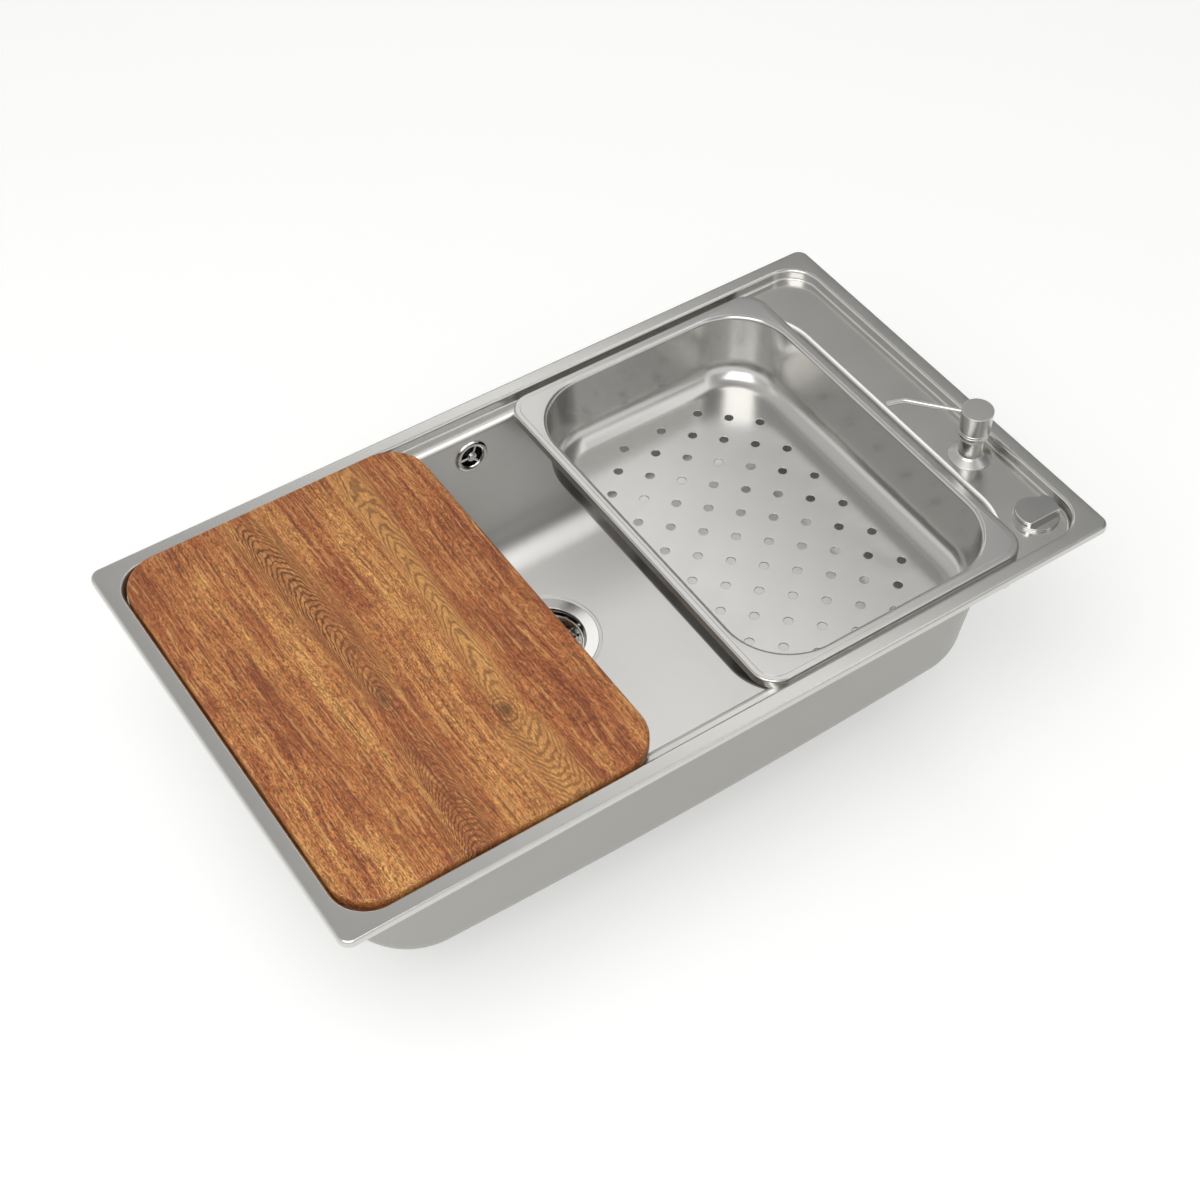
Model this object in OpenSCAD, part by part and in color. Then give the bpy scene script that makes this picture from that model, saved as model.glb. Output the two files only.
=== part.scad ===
// Inset stainless steel kitchen sink: one large bowl, a side deck with a soap
// dispenser and a pop-up waste knob, a sliding colander and a wooden board.
// Millimetres. The worktop's surface is z = 0 under the middle of the rim,
// with x to the right, y to the back and z up.

/* [Sink top] */
// Width of the rim, left to right
sink_w = 860; // [820:1:1000]
// Depth of the rim, front to back
sink_d = 500; // [490:1:520]
// Thickness of the stainless sheet
sheet = 1; // [0.8:0.1:1.2]
// Height of the rim above the worktop
rim_h = 7; // [6:0.5:9]
// Width of the flat rim, from its outer edge to the recess
rim_w = 14.5; // [12:0.5:18]
// Corner radius of the rim
rim_r = 12; // [10:0.5:16]
// Radius of the rim's folded outer edge
lip_r = 3; // [2:0.5:4]
// Depth of the ledge and deck below the rim
recess_drop = 12.3; // [11:0.1:15]
// Corner radius of the recess
recess_r = 38; // [32:1:46]
// Radius of the recess's upper edge
step_r = 3; // [2:0.5:4]
// Radius at the foot of the recess wall
foot_r = 2.5; // [1.5:0.5:3]
// Clearance between the rim's fold and the sealing strip
seal_gap = 0.5; // [0.2:0.1:1]
// Width of the sealing strip
seal_w = 7; // [5:0.5:7.5]

/* [Bowl] */
// Width of the ledge at the front, back and left, from the recess's edge to the bowl wall
ledge_w = 19.5; // [18:0.5:24]
// Width of the deck at the right, from the recess's edge to the bowl wall
deck_w = 62.5; // [60:0.5:90]
// Depth of the bowl below the ledge
bowl_depth = 184.3; // [160:0.1:200]
// Corner radius of the bowl at its mouth
bowl_r = 75; // [66:1:90]
// Radius of the bowl's upper edge
bowl_edge_r = 6; // [3:0.5:7]
// Radius between the bowl's walls and its floor
bowl_floor_r = 43; // [25:1:48]
// How far each bowl wall comes in from top to bottom
bowl_taper = 13; // [4:0.5:16]
// How far the front and back walls bow outwards at the bottom
bowl_bow = 4.7; // [0:0.1:6]
// Fall of the floor towards the drain, in percent
floor_fall = 3.6; // [1:0.1:4]

/* [Fixing clips] */
// Clips along the front, and as many along the back
clip_count = 4; // [2:1:5]
// Distance between neighbouring clips
clip_pitch = 190; // [120:1:200]
// Width of a clip's rail
clip_w = 24; // [18:1:30]
// Depth of a clip's rail below the ledge
clip_drop = 14.5; // [12:0.5:15]
// Radius of a clip's screw
clip_screw_r = 2.5; // [2:0.25:3]

/* [Waste] */
// Distance of the drain behind the middle of the bowl
drain_back = 76; // [40:1:85]
// Radius of the hole in the bowl's floor
drain_hole_r = 45; // [44:0.5:46]
// Radius of the pressed seat around the drain
dish_r = 58; // [57:0.5:62]
// Depth of the pressed seat
dish_drop = 1.6; // [1.4:0.1:3]
// Radius of the strainer's flange
flange_r = 55; // [50:0.5:56]
// Thickness of the strainer's flange
flange_t = 1.2; // [1:0.1:1.4]
// Radius of the mouth of the strainer's cup
cup_r = 41.2; // [40:0.1:42]
// Depth of the strainer's cup
cup_depth = 24; // [20:0.5:30]
// Radius of the waste's inner wall
waste_r = 48; // [47:0.5:50]
// Wall thickness of the plastic waste
waste_wall = 3; // [2.5:0.5:4]
// Radius of the outlet's thread
outlet_thread_r = 23.9; // [20:0.1:26]
// Length of the outlet's thread
outlet_thread_l = 20; // [15:1:30]
// Bore radius of the outlet
outlet_bore_r = 19; // [18:0.5:20]
// Thickness of the rubber gasket under the bowl
waste_gasket_t = 2.5; // [2:0.5:4]
// Outer radius of the basket
basket_r = 38; // [36:0.5:39.5]
// Height of the basket's wall
basket_h = 14; // [12:0.5:16]
// Radius of the holes in the basket
basket_hole_r = 2; // [1.5:0.25:2.25]
// How far the basket lifts to open the waste
basket_lift = 10; // [6:0.5:10]

/* [Overflow] */
// Depth of the overflow's middle below the ledge
overflow_drop = 29.3; // [28:0.1:40]
// Outer radius of the overflow rosette
rosette_r = 19; // [18:0.5:21]
// Radius of the openings in the rosette
rosette_hole_r = 12.3; // [11:0.1:13]
// Radius of the rosette's middle boss
rosette_hub_r = 5.5; // [5:0.25:6.5]
// Turn of the rosette's first spoke from level
rosette_turn = 65; // [0:1:119]
// Bore radius of the overflow hose
hose_bore_r = 8; // [7.5:0.1:8.5]
// Outer radius of the overflow hose's ribs
hose_rib_r = 9.8; // [9.5:0.1:10.5]
// Distance between the hose's ribs
hose_rib_pitch = 5; // [4:0.5:6]

/* [Pop-up knob] */
// Distance of the deck's fittings from the deck's outer edge
deck_axis_in = 30.9; // [27:0.1:33]
// Distance of the knob's middle from the recess's front edge
knob_in = 43.5; // [41:0.5:55]
// Radius of the knob's fixed ring
bezel_r = 23.5; // [22:0.5:24]
// Height of the knob's fixed ring
bezel_h = 1.5; // [1:0.25:2.5]
// Height of the knob's grip above the deck
grip_h = 9.6; // [8:0.1:14]
// Width of the knob's grip
grip_w = 24.4; // [18:0.2:28]
// Angle that the knob turns to open the waste
knob_turn = 90; // [60:5:120]

/* [Soap dispenser] */
// Distance of the dispenser's middle from the recess's front edge
dispenser_in = 144; // [126:0.5:155]
// Radius of the dispenser's foot
collar_foot_r = 22.3; // [20:0.1:24]
// Height of the dispenser's sloping foot
collar_foot_h = 5.8; // [4:0.1:8]
// Radius of the dispenser's neck
collar_r = 12.5; // [12:0.1:13]
// Height of the top of the pump head above the deck
head_top = 64.3; // [60:0.1:80]
// Height of the pump head itself
head_h = 36; // [34:0.5:38]
// Radius of the pump head at its top
head_r = 16.5; // [16:0.1:18]
// Radius of the pump head at its lower edge
head_low_r = 15.7; // [15.2:0.1:16]
// How far the pump head is pressed down
press_travel = 12; // [8:0.5:12]
// Reach of the spout from the dispenser's axis
spout_reach = 90; // [70:1:100]
// Outer radius of the spout
spout_r = 2.35; // [2:0.05:3]
// Direction of the spout, from the right towards the back
spout_turn = 130.5; // [100:0.5:180]
// Outer radius of the soap bottle
bottle_r = 28; // [24:0.5:28]
// Height of the soap bottle
bottle_h = 125; // [100:1:150]

/* [Colander] */
// Width of the colander's flange, left to right
pan_w = 317; // [280:1:322]
// Clearance between the flange's skirt and the recess wall, at each end
pan_play = 5.7; // [5:0.1:6.5]
// Distance of the colander's flange from the recess's right edge
pan_deck = 70.5; // [69:0.5:150]
// Depth of the colander's floor below its flange
pan_depth = 79.7; // [60:0.1:120]
// Depth of the flange below the rim
pan_drop = 2; // [0:0.1:4]
// Thickness of the colander's sheet
pan_sheet = 0.9; // [0.7:0.1:1]
// Width of the flange beside the basin, left and right
flange_side = 13.5; // [12:0.1:16]
// Width of the flange beside the basin, front and back
flange_end = 14.2; // [13.5:0.1:16]
// Corner radius of the flange
pan_flange_r = 26; // [20:1:32]
// Corner radius of the basin
pan_r = 66; // [50:1:72]
// Radius of the basin's upper edge
pan_edge_r = 4; // [2:0.5:5]
// Radius between the basin's walls and its floor
pan_floor_r = 25; // [15:1:28]
// How far each basin wall comes in from top to bottom
pan_taper = 4; // [2:0.5:6]
// Distance between rows of drain holes
hole_step = 24; // [22:0.5:26]
// Radius of a drain hole
hole_r = 4.75; // [3:0.25:6]

/* [Cutting board] */
// Width of the board, left to right
board_w = 324; // [280:1:330]
// Thickness of the board
board_t = 18.5; // [15:0.5:22]
// Corner radius of the board
board_r = 42; // [36:1:50]
// Radius of the board's edges
board_edge_r = 3.5; // [2:0.25:5]
// Clearance between the board and the recess wall
board_gap = 1; // [0.5:0.1:2]

/* [Hidden] */
$fn = 64;

// Clearances
run_fit = 0.06;
thread_fit = 0.05;
seat_gap = 0.3;
press_gap = 0.02;
wall_fit = 0.06;

// Colours
steel = [0.76, 0.76, 0.74];
bright_steel = [0.82, 0.82, 0.81];
black_rubber = [0.09, 0.09, 0.09];
dark_plastic = [0.16, 0.16, 0.17];
white_plastic = [0.9, 0.9, 0.88];
clear_plastic = [0.85, 0.88, 0.9];
timber = [0.66, 0.4, 0.2];

// Heights and half sizes of the sink top
ledge_z = rim_h - recess_drop;
under_ledge_z = ledge_z - sheet;
recess_hx = sink_w / 2 - rim_w;
recess_hy = sink_d / 2 - rim_w;
wall_hx = recess_hx - step_r;
wall_hy = recess_hy - step_r;

// The bowl
bowl_left = -recess_hx + ledge_w;
bowl_right = recess_hx - deck_w;
bowl_x = (bowl_left + bowl_right) / 2;
bowl_hx = (bowl_right - bowl_left) / 2;
bowl_hy = recess_hy - ledge_w;
floor_z = ledge_z - bowl_depth;
bowl_wall_top_z = ledge_z - bowl_edge_r;
bowl_wall_low_z = floor_z + bowl_floor_r;
bowl_corner_steps = 10;
bowl_side_steps = 6;
bowl_edge_steps = 4;
bowl_floor_steps = 8;
floor_ring_r = dish_r + 2;

// The back wall leans in less than the taper, for it bows out, and its foot rises with the floor
back_rise = floor_fall / 100 * (bowl_hy - drain_back - floor_ring_r);
bowl_draft = atan((bowl_taper - bowl_bow) / (bowl_wall_top_z - bowl_wall_low_z - back_rise));

// The waste, downwards from the bowl's floor
drain = [bowl_x, drain_back, 0];
dish_z = floor_z - dish_drop;
dish_under_z = dish_z - sheet;
flange_top_z = dish_z + flange_t;
cup_wall = 1;
cup_floor_z = flange_top_z - cup_depth;
neck_r = 26;
neck_h = 8;
neck_low_z = cup_floor_z - neck_h;
spider_t = 3;
spider_hub_r = 9;
waste_top_z = dish_under_z - waste_gasket_t;
waste_rim_r = 58;
waste_rim_t = 5;
waste_h = 30;
waste_low_z = waste_top_z - waste_h;
tube_r = outlet_bore_r + waste_wall;
cone_h = 20;
tube_top_z = waste_low_z - cone_h;
screw_r = 6;
screw_head_h = 3;
screw_head_r = 8.5;
pin_r = 3;
hub_r = 9.5;
hub_low_z = tube_top_z + 5;
hub_h = 8;
screw_low_z = hub_low_z - 1;
lever_arm = 26;
lever_nose_r = 2;
lever_z = screw_low_z - basket_lift - lever_nose_r - 2;
lever_up = 12;
lever_w = 5;
lever_t = 3;
lever_pin_r = 1.5;
lever_box_in = 17;
lever_box_out = 41;
lever_box_w = 11;
lever_box_low_z = lever_z - 5;
lever_box_top_z = lever_z + 14;
lever_box_wall = 2;
cable_in_z = lever_z + 7;
thread_top_z = lever_box_low_z - lever_box_wall - 2;
outlet_z = thread_top_z - outlet_thread_l;
inlet_drop = 16;
inlet_z = dish_under_z - inlet_drop;
inlet_reach = 24;

// The basket and what lifts it
seal_t = 2;
basket_low_z = cup_floor_z + run_fit + seal_t;
pin_low_z = lever_z + lever_nose_r + seat_gap;
lever_turn = asin(basket_lift / lever_arm);

// The overflow, on the sloping back wall
overflow_z = ledge_z - overflow_drop;
overflow_y = bowl_hy - (bowl_wall_top_z - overflow_z) * tan(bowl_draft) - wall_fit;
wall_back = sheet + 2 * wall_fit;
wall_hole_r = 16.5;
overflow_gasket_t = 2;
elbow_r = 19;
elbow_depth = 17;
elbow_flange_r = 23;
elbow_wall = 2;
hose_sides = 10;
spigot_r = hose_bore_r * cos(180 / hose_sides) - 0.1;
spigot_bore_r = spigot_r - 1.5;
hose_y = overflow_y + 12.6;
hose_top_z = overflow_z - elbow_r - 6;
hose_bend_r = 43;
hose_end_y = drain_back + waste_r + waste_wall + 9;

// The deck's fittings
deck_axis_x = recess_hx - deck_axis_in;
knob_at = [deck_axis_x, knob_in - recess_hy, 0];
dispenser_at = [deck_axis_x, dispenser_in - recess_hy, 0];
knob_shank_r = 14;
knob_hole_r = knob_shank_r + 0.3;
knob_shank_l = 26;
knob_shank_low_z = ledge_z - knob_shank_l;
knob_stem_r = 5;
knob_r = bezel_r - 0.7;
knob_disc_z = ledge_z + bezel_h + seat_gap;
knob_disc_t = 1.4;
washer_t = 1.5;
knob_nut_r = 19.5;
knob_nut_h = 6;
housing_r = 17;
housing_h = 30;
housing_low_z = knob_shank_low_z - housing_h;
housing_wall = 2;
drum_r = 12;
drum_core_r = 6;
drum_h = 9;
cable_r = 2.75;
cable_side = 10;
cable_boss_l = 10;
cable_boss_r = 5.5;

// The soap dispenser
shank_r = 11.8;
shank_bore_r = 9;
dispenser_hole_r = shank_r + 0.4;
shank_l = 50;
shank_low_z = ledge_z - shank_l;
neck_top = head_top - head_h + 4.7;
dispenser_nut_r = 19;
dispenser_nut_h = 7;
bottle_neck_r = 14.5;
bottle_neck_h = 16;
bottle_wall = 1.2;
bottle_top_z = shank_low_z + bottle_neck_h - 2;
head_room = 0.5;
pump_flange_h = 1.5;
head_cavity_top = neck_top + pump_flange_h + press_travel + head_room;
head_cavity_r = collar_r + 0.5;
pump_r = 8.5;
pump_bore_r = 6;
pump_below = 13;
pump_low_z = ledge_z - pump_below;
rod_r = 3.5;
rod_bore_r = 1.5;
rod_top = head_cavity_top + 7;
disc_h = 5;
disc_top = neck_top - 3;
spout_drop = head_top - 6;
spout_bend_r = 12;
spout_fall = 28;
spout_wall = 0.85;
spout_root = 9;
dip_r = 2.5;
dip_wall = 0.8;
spring_wire_r = 0.45;
spring_coil_r = 4.6;
spring_coils = 11;
spring_rings = 8;
spring_sides = 6;

// The colander
pan_hx = pan_w / 2;
pan_x = recess_hx - pan_deck - pan_hx;
pan_hy = wall_hy - pan_play;
pan_top_z = rim_h - pan_drop;
pan_floor_z = pan_top_z - pan_depth;
basin_hx = pan_hx - flange_side;
basin_hy = pan_hy - flange_end;
flange_edge_r = 2;
pan_corner_steps = 10;
hole_rows = 7;
hole_columns = 4;

// The board
board_hx = board_w / 2;
board_hy = wall_hy - board_gap;
board_x = -wall_hx + board_gap + board_hx;

// Round numbers along the control cable, from the knob's housing to the waste
cable_points = [
    [374, -191, -86], [374, -187, -102], [374, -177, -120], [373, -162, -140],
    [371, -142, -160], [367, -120, -180], [358, -94, -200], [342, -67, -216],
    [318, -40, -228], [286, -14, -237], [248, 10, -243], [206, 32, -246],
    [164, 50, -248], [126, 63, -248], [92, 71, -247], [62, 75, -245]
];
cable_start = [knob_at[0] - cable_side, knob_at[1], housing_low_z - cable_boss_l + 4];
cable_end = [drain[0] + lever_box_out + lever_box_wall + cable_boss_l - 6, drain[1], cable_in_z];

// Shared shapes

// A flat rectangle with round corners.
module round_rect(hx, hy, r) {
    square([2 * (hx - r), 2 * hy], center = true);
    square([2 * hx, 2 * (hy - r)], center = true);
    for (sx = [-1, 1]) {
        for (sy = [-1, 1]) {
            translate([sx * (hx - r), sy * (hy - r)]) circle(r);
        }
    }
}

// A point on the corner arc c of a rectangle with round corners.
function corner_point(hx, hy, r, z, c, a) =
    let (sx = c == 0 || c == 3 ? 1 : -1, sy = c < 2 ? 1 : -1)
    [sx * (hx - r) + r * cos(a), sy * (hy - r) + r * sin(a), z];

// The points of a rectangle with round corners at one height, anticlockwise.
// Each straight side is cut into as many parts as sides says.
function ring(hx, hy, r, z, steps, sides = 1) = [
    for (c = [0:3]) each concat(
        [for (i = [0:steps]) corner_point(hx, hy, r, z, c, 90 * (c + i / steps))],
        [
            for (i = [1:1:sides - 1])
                let (
                    from = corner_point(hx, hy, r, z, c, 90 * (c + 1)),
                    to = corner_point(hx, hy, r, z, (c + 1) % 4, 90 * (c + 1))
                )
                from + (to - from) * i / sides
        ]
    )
];

function reversed(list) = [for (i = [len(list) - 1:-1:0]) list[i]];

function flat(points) = [for (p = points) [p[0], p[1]]];

// A closed surface through a loop of rings that all have as many points.
module ring_loop(rings) {
    m = len(rings);
    n = len(rings[0]);
    faces = [
        for (k = [0:m - 1]) for (i = [0:n - 1])
            let (j = (i + 1) % n, next = (k + 1) % m)
            each [[k * n + i, k * n + j, next * n + j], [k * n + i, next * n + j, next * n + i]]
    ];
    polyhedron([for (r = rings) each r], faces, convexity = 8);
}

// A tube or rod through rings of points, closed at both ends.
module ring_rod(rings) {
    m = len(rings);
    n = len(rings[0]);
    sides = [
        for (k = [0:m - 2]) for (i = [0:n - 1])
            let (j = (i + 1) % n, next = k + 1)
            each [[k * n + i, next * n + j, k * n + j], [k * n + i, next * n + i, next * n + j]]
    ];
    first = [for (i = [1:n - 2]) [0, i, i + 1]];
    last = [for (i = [1:n - 2]) [(m - 1) * n, (m - 1) * n + i + 1, (m - 1) * n + i]];
    polyhedron([for (r = rings) each r], concat(sides, first, last), convexity = 8);
}

// A profile drawn as (distance outwards, height), carried round a rectangle with round corners.
module carry_round(hx, hy, r) {
    for (c = [0:3]) {
        sx = c == 0 || c == 3 ? 1 : -1;
        sy = c < 2 ? 1 : -1;
        translate([sx * (hx - r), sy * (hy - r), 0])
            rotate([0, 0, 90 * c])
            rotate_extrude(angle = 90)
            translate([r, 0])
            children();
    }
    for (turn = [0, 180]) {
        rotate([0, 0, turn])
            translate([hx, hy - r, 0])
            rotate([90, 0, 0])
            linear_extrude(2 * (hy - r))
            children();
        rotate([0, 0, turn + 90])
            translate([hy, hx - r, 0])
            rotate([90, 0, 0])
            linear_extrude(2 * (hx - r))
            children();
    }
}

// A quarter of a ring between two radii; sx and sy choose the quarter.
module quarter_ring(outer, inner, sx, sy) {
    intersection() {
        difference() {
            circle(outer);
            circle(inner);
        }
        translate([sx * outer / 2, sy * outer / 2]) square(outer, center = true);
    }
}

module tube(outer, inner, h) {
    difference() {
        cylinder(h = h, r = outer);
        translate([0, 0, -1]) cylinder(h = h + 2, r = inner);
    }
}

module hex_nut(r, bore, h) {
    difference() {
        cylinder(h = h, r = r, $fn = 6);
        translate([0, 0, -1]) cylinder(h = h + 2, r = bore);
    }
}

// The sink top: folded rim, recess wall, ledge and deck

module lip_profile() {
    translate([0, rim_h - lip_r]) quarter_ring(lip_r, lip_r - sheet, 1, 1);
    translate([lip_r - sheet, 0]) square([sheet, rim_h - lip_r]);
}

module step_profile() {
    translate([0, rim_h - step_r]) quarter_ring(step_r, step_r - sheet, -1, 1);
    translate([-step_r, ledge_z + foot_r]) square([sheet, recess_drop - step_r - foot_r]);
    translate([-step_r - foot_r, ledge_z + foot_r]) quarter_ring(foot_r + sheet, foot_r, 1, -1);
}

module sink_top() {
    flat_hx = recess_hx - step_r - foot_r;
    flat_hy = recess_hy - step_r - foot_r;
    mouth = bowl_ring(0, bowl_edge_r, 0);
    color(steel) {
        translate([0, 0, rim_h - sheet]) linear_extrude(sheet) difference() {
            round_rect(sink_w / 2 - lip_r, sink_d / 2 - lip_r, rim_r - lip_r);
            round_rect(recess_hx, recess_hy, recess_r);
        }
        carry_round(sink_w / 2 - lip_r, sink_d / 2 - lip_r, rim_r - lip_r) lip_profile();
        carry_round(recess_hx, recess_hy, recess_r) step_profile();
        translate([0, 0, under_ledge_z]) linear_extrude(sheet) difference() {
            round_rect(flat_hx, flat_hy, recess_r - step_r - foot_r);
            translate([bowl_x, 0]) polygon(flat(mouth));
            translate([dispenser_at[0], dispenser_at[1]]) circle(dispenser_hole_r);
            translate([knob_at[0], knob_at[1]]) circle(knob_hole_r);
        }
    }
}

// The deep-drawn bowl, welded to the edge of the ledge

drain_in_bowl = [drain[0] - bowl_x, drain[1]];

// The floor falls to the drain, so it rises with the distance from there.
function floor_rise(p) = floor_fall / 100 * (norm([p[0], p[1]] - drain_in_bowl) - floor_ring_r);

// A ring of the bowl's skin. Share is 0 at the top of the wall and 1 at its foot.
function bowl_ring(share, offset, z) = [
    for (p = ring(
        bowl_hx - bowl_taper * share + offset,
        bowl_hy - bowl_taper * share + offset,
        bowl_r + offset,
        z,
        bowl_corner_steps,
        bowl_side_steps
    ))
        let (bow = share * bowl_bow * (1 - pow(p[0] / bowl_hx, 2)) * sign(p[1]))
        [p[0], p[1] + bow, z + share * floor_rise(p)]
];

function bowl_edge(thickness) = [
    for (i = [0:bowl_edge_steps])
        let (a = 90 * i / bowl_edge_steps, r = bowl_edge_r - thickness)
        bowl_ring(0, bowl_edge_r - r * sin(a), bowl_wall_top_z + r * cos(a))
];

function bowl_fillet(thickness) = [
    for (i = [0:bowl_floor_steps])
        let (a = 90 * i / bowl_floor_steps, r = bowl_floor_r + thickness)
        bowl_ring(1, r * cos(a) - bowl_floor_r, bowl_wall_low_z - r * sin(a))
];

// The floor ends in a level ring round the drain's seat.
function floor_ring(z) = [
    for (p = bowl_ring(1, -bowl_floor_r, 0))
        let (out = [p[0], p[1]] - drain_in_bowl)
        [each drain_in_bowl + floor_ring_r * out / norm(out), z]
];

module sink_bowl() {
    under = concat(bowl_edge(sheet), bowl_fillet(sheet), [floor_ring(floor_z - sheet)]);
    inside = concat(bowl_edge(0), bowl_fillet(0), [floor_ring(floor_z)]);
    color(steel) {
        difference() {
            translate([bowl_x, 0, 0]) ring_loop(concat(under, reversed(inside)));
            overflow_frame() translate([0, 0, -10]) cylinder(h = 20, r = wall_hole_r);
        }
        difference() {
            translate([bowl_x, 0, floor_z - sheet])
                linear_extrude(sheet)
                polygon(flat(floor_ring(0)));
            translate(drain) translate([0, 0, floor_z - 5]) cylinder(h = 10, r = dish_r);
        }
        translate(drain) rotate_extrude() {
            translate([drain_hole_r, dish_under_z]) square([dish_r - drain_hole_r, sheet]);
            translate([dish_r - sheet, dish_z]) square([sheet, dish_drop]);
        }
    }
}

module rim_seal() {
    outer = lip_r + seal_gap;
    inner = outer + seal_w;
    least_r = 0.5;
    color(black_rubber) linear_extrude(rim_h - sheet) difference() {
        round_rect(sink_w / 2 - outer, sink_d / 2 - outer, max(rim_r - outer, least_r));
        round_rect(sink_w / 2 - inner, sink_d / 2 - inner, max(rim_r - inner, least_r));
    }
}

// Fixing clips, turned in along the bowl as they are before the sink is set in the worktop

clip_y = bowl_hy + bowl_edge_r + 0.5;
clip_t = 1.5;
clip_foot = 9.5;
clip_jaw_gap = 2;
clip_jaw_t = 2;
clip_jaw_w = 9;
clip_jaw_l = 34;
clip_jaw_heel = 9;
clip_nose_h = 4;
clip_head_h = 3;
clip_head_r = 4;
clip_foot_z = under_ledge_z - clip_drop;

module at_each_clip() {
    for (side = [0, 180]) {
        for (i = [0:clip_count - 1]) {
            along = (i - (clip_count - 1) / 2) * clip_pitch;
            rotate([0, 0, side])
                translate([along + (side == 0 ? bowl_x : -bowl_x), clip_y, 0])
                children();
        }
    }
}

module clip_rails() {
    color(bright_steel) at_each_clip() {
        translate([-clip_w / 2, 0, clip_foot_z]) cube([clip_w, clip_t, clip_drop]);
        difference() {
            translate([-clip_w / 2, 0, clip_foot_z]) cube([clip_w, clip_foot, clip_t]);
            translate([0, clip_foot / 2 + clip_t / 2, clip_foot_z - 1])
                cylinder(h = clip_t + 2, r = clip_screw_r + thread_fit);
        }
    }
}

module clip_jaws() {
    jaw_z = clip_foot_z - clip_jaw_gap - clip_jaw_t;
    mid_y = clip_foot / 2 + clip_t / 2;
    color(bright_steel) at_each_clip() {
        difference() {
            translate([-clip_jaw_heel, mid_y - clip_jaw_w / 2, jaw_z])
                cube([clip_jaw_l, clip_jaw_w, clip_jaw_t]);
            translate([0, mid_y, jaw_z - 1])
                cylinder(h = clip_jaw_t + 2, r = clip_screw_r + thread_fit);
        }
        translate([clip_jaw_l - clip_jaw_heel - clip_jaw_t, mid_y - clip_jaw_w / 2, jaw_z])
            cube([clip_jaw_t, clip_jaw_w, clip_jaw_t + clip_nose_h]);
        translate([-clip_jaw_heel, mid_y - clip_jaw_w / 2, jaw_z])
            cube([clip_jaw_t, clip_jaw_w, clip_jaw_t + clip_jaw_gap]);
    }
}

module clip_screws() {
    jaw_z = clip_foot_z - clip_jaw_gap - clip_jaw_t;
    mid_y = clip_foot / 2 + clip_t / 2;
    color(bright_steel) at_each_clip() translate([0, mid_y, jaw_z]) {
        cylinder(h = clip_jaw_gap + clip_jaw_t + clip_t + 3, r = clip_screw_r);
        difference() {
            translate([0, 0, -clip_head_h]) cylinder(h = clip_head_h, r = clip_head_r);
            translate([-clip_head_r - 1, -0.5, -clip_head_h - 1])
                cube([2 * clip_head_r + 2, 1, 2]);
        }
    }
}

// Overflow. In its frame z points out through the bowl wall and y points down the wall.

module overflow_frame() {
    translate([bowl_x, overflow_y, overflow_z]) rotate([-90 - bowl_draft, 0, 0]) children();
}

module overflow_rosette() {
    ring_h = 2.5;
    spoke_w = 2.6;
    color(bright_steel) overflow_frame() {
        rotate_extrude() {
            intersection() {
                translate([(rosette_r + rosette_hole_r) / 2, 0]) scale([1.34, 1]) circle(ring_h);
                translate([rosette_hole_r, -ring_h]) square([rosette_r - rosette_hole_r, ring_h]);
            }
            translate([rosette_hole_r, 0]) square([1.2, 3]);
        }
        difference() {
            union() {
                translate([0, 0, -1.5]) cylinder(h = 2.5, r = rosette_hub_r);
                for (i = [0:2]) {
                    rotate([0, 0, -rosette_turn - 120 * i])
                        translate([0, -spoke_w / 2, -1.2])
                        cube([rosette_hole_r + 0.6, spoke_w, 1.8]);
                }
            }
            translate([0, 0, -5]) cylinder(h = 10, r = screw_shank_r + thread_fit);
        }
    }
}

screw_shank_r = 2;

module overflow_screw() {
    head_r = 3.8;
    head_h = 1.4;
    color(bright_steel) overflow_frame() {
        difference() {
            translate([0, 0, -1.5 - head_h]) cylinder(h = head_h, r = head_r);
            translate([-head_r - 1, -0.45, -1.5 - head_h - 1]) cube([2 * head_r + 2, 0.9, 1.7]);
        }
        translate([0, 0, -1.5]) cylinder(h = elbow_depth - 2, r = screw_shank_r);
    }
}

module overflow_gasket() {
    color(black_rubber) overflow_frame() translate([0, 0, wall_back])
        tube(elbow_flange_r, wall_hole_r + 1, overflow_gasket_t);
}

module overflow_elbow() {
    face = wall_back + overflow_gasket_t;
    back = face + elbow_depth;
    spigot_top_z = overflow_z - elbow_r + 4;
    spigot_low_z = hose_top_z - 12;
    color(dark_plastic) difference() {
        union() {
            overflow_frame() {
                translate([0, 0, face]) cylinder(h = 2, r = elbow_flange_r);
                translate([0, 0, face]) cylinder(h = back - face, r = elbow_r);
            }
            translate([bowl_x, hose_y, spigot_low_z])
                cylinder(h = spigot_top_z - spigot_low_z, r = spigot_r);
        }
        overflow_frame() {
            translate([0, 0, face - 1]) difference() {
                cylinder(h = elbow_depth + 1 - elbow_wall, r = elbow_r - elbow_wall);
                translate([0, 0, 4]) cylinder(h = elbow_depth, r = screw_shank_r + 2);
            }
            translate([0, 0, face]) cylinder(h = elbow_depth - 4, r = screw_shank_r + thread_fit);
        }
        translate([bowl_x, hose_y, spigot_low_z - 1])
            cylinder(h = spigot_top_z - spigot_low_z + 2, r = spigot_bore_r);
    }
}

// The hose's line: straight down behind the bowl, a quarter bend, and level to the waste.
hose_down = hose_top_z - (inlet_z + hose_bend_r);
hose_bend_l = hose_bend_r * PI / 2;
hose_level = hose_y - hose_bend_r - hose_end_y;
hose_length = hose_down + hose_bend_l + hose_level;

function hose_angle(s) =
    s < hose_down ? 0 : s > hose_down + hose_bend_l ? 90 : 90 * (s - hose_down) / hose_bend_l;

function hose_point(s) =
    let (a = hose_angle(s), past = max(0, s - hose_down - hose_bend_l))
    [
        bowl_x,
        hose_y - hose_bend_r * (1 - cos(a)) - past,
        hose_top_z - min(s, hose_down) - hose_bend_r * sin(a)
    ];

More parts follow.
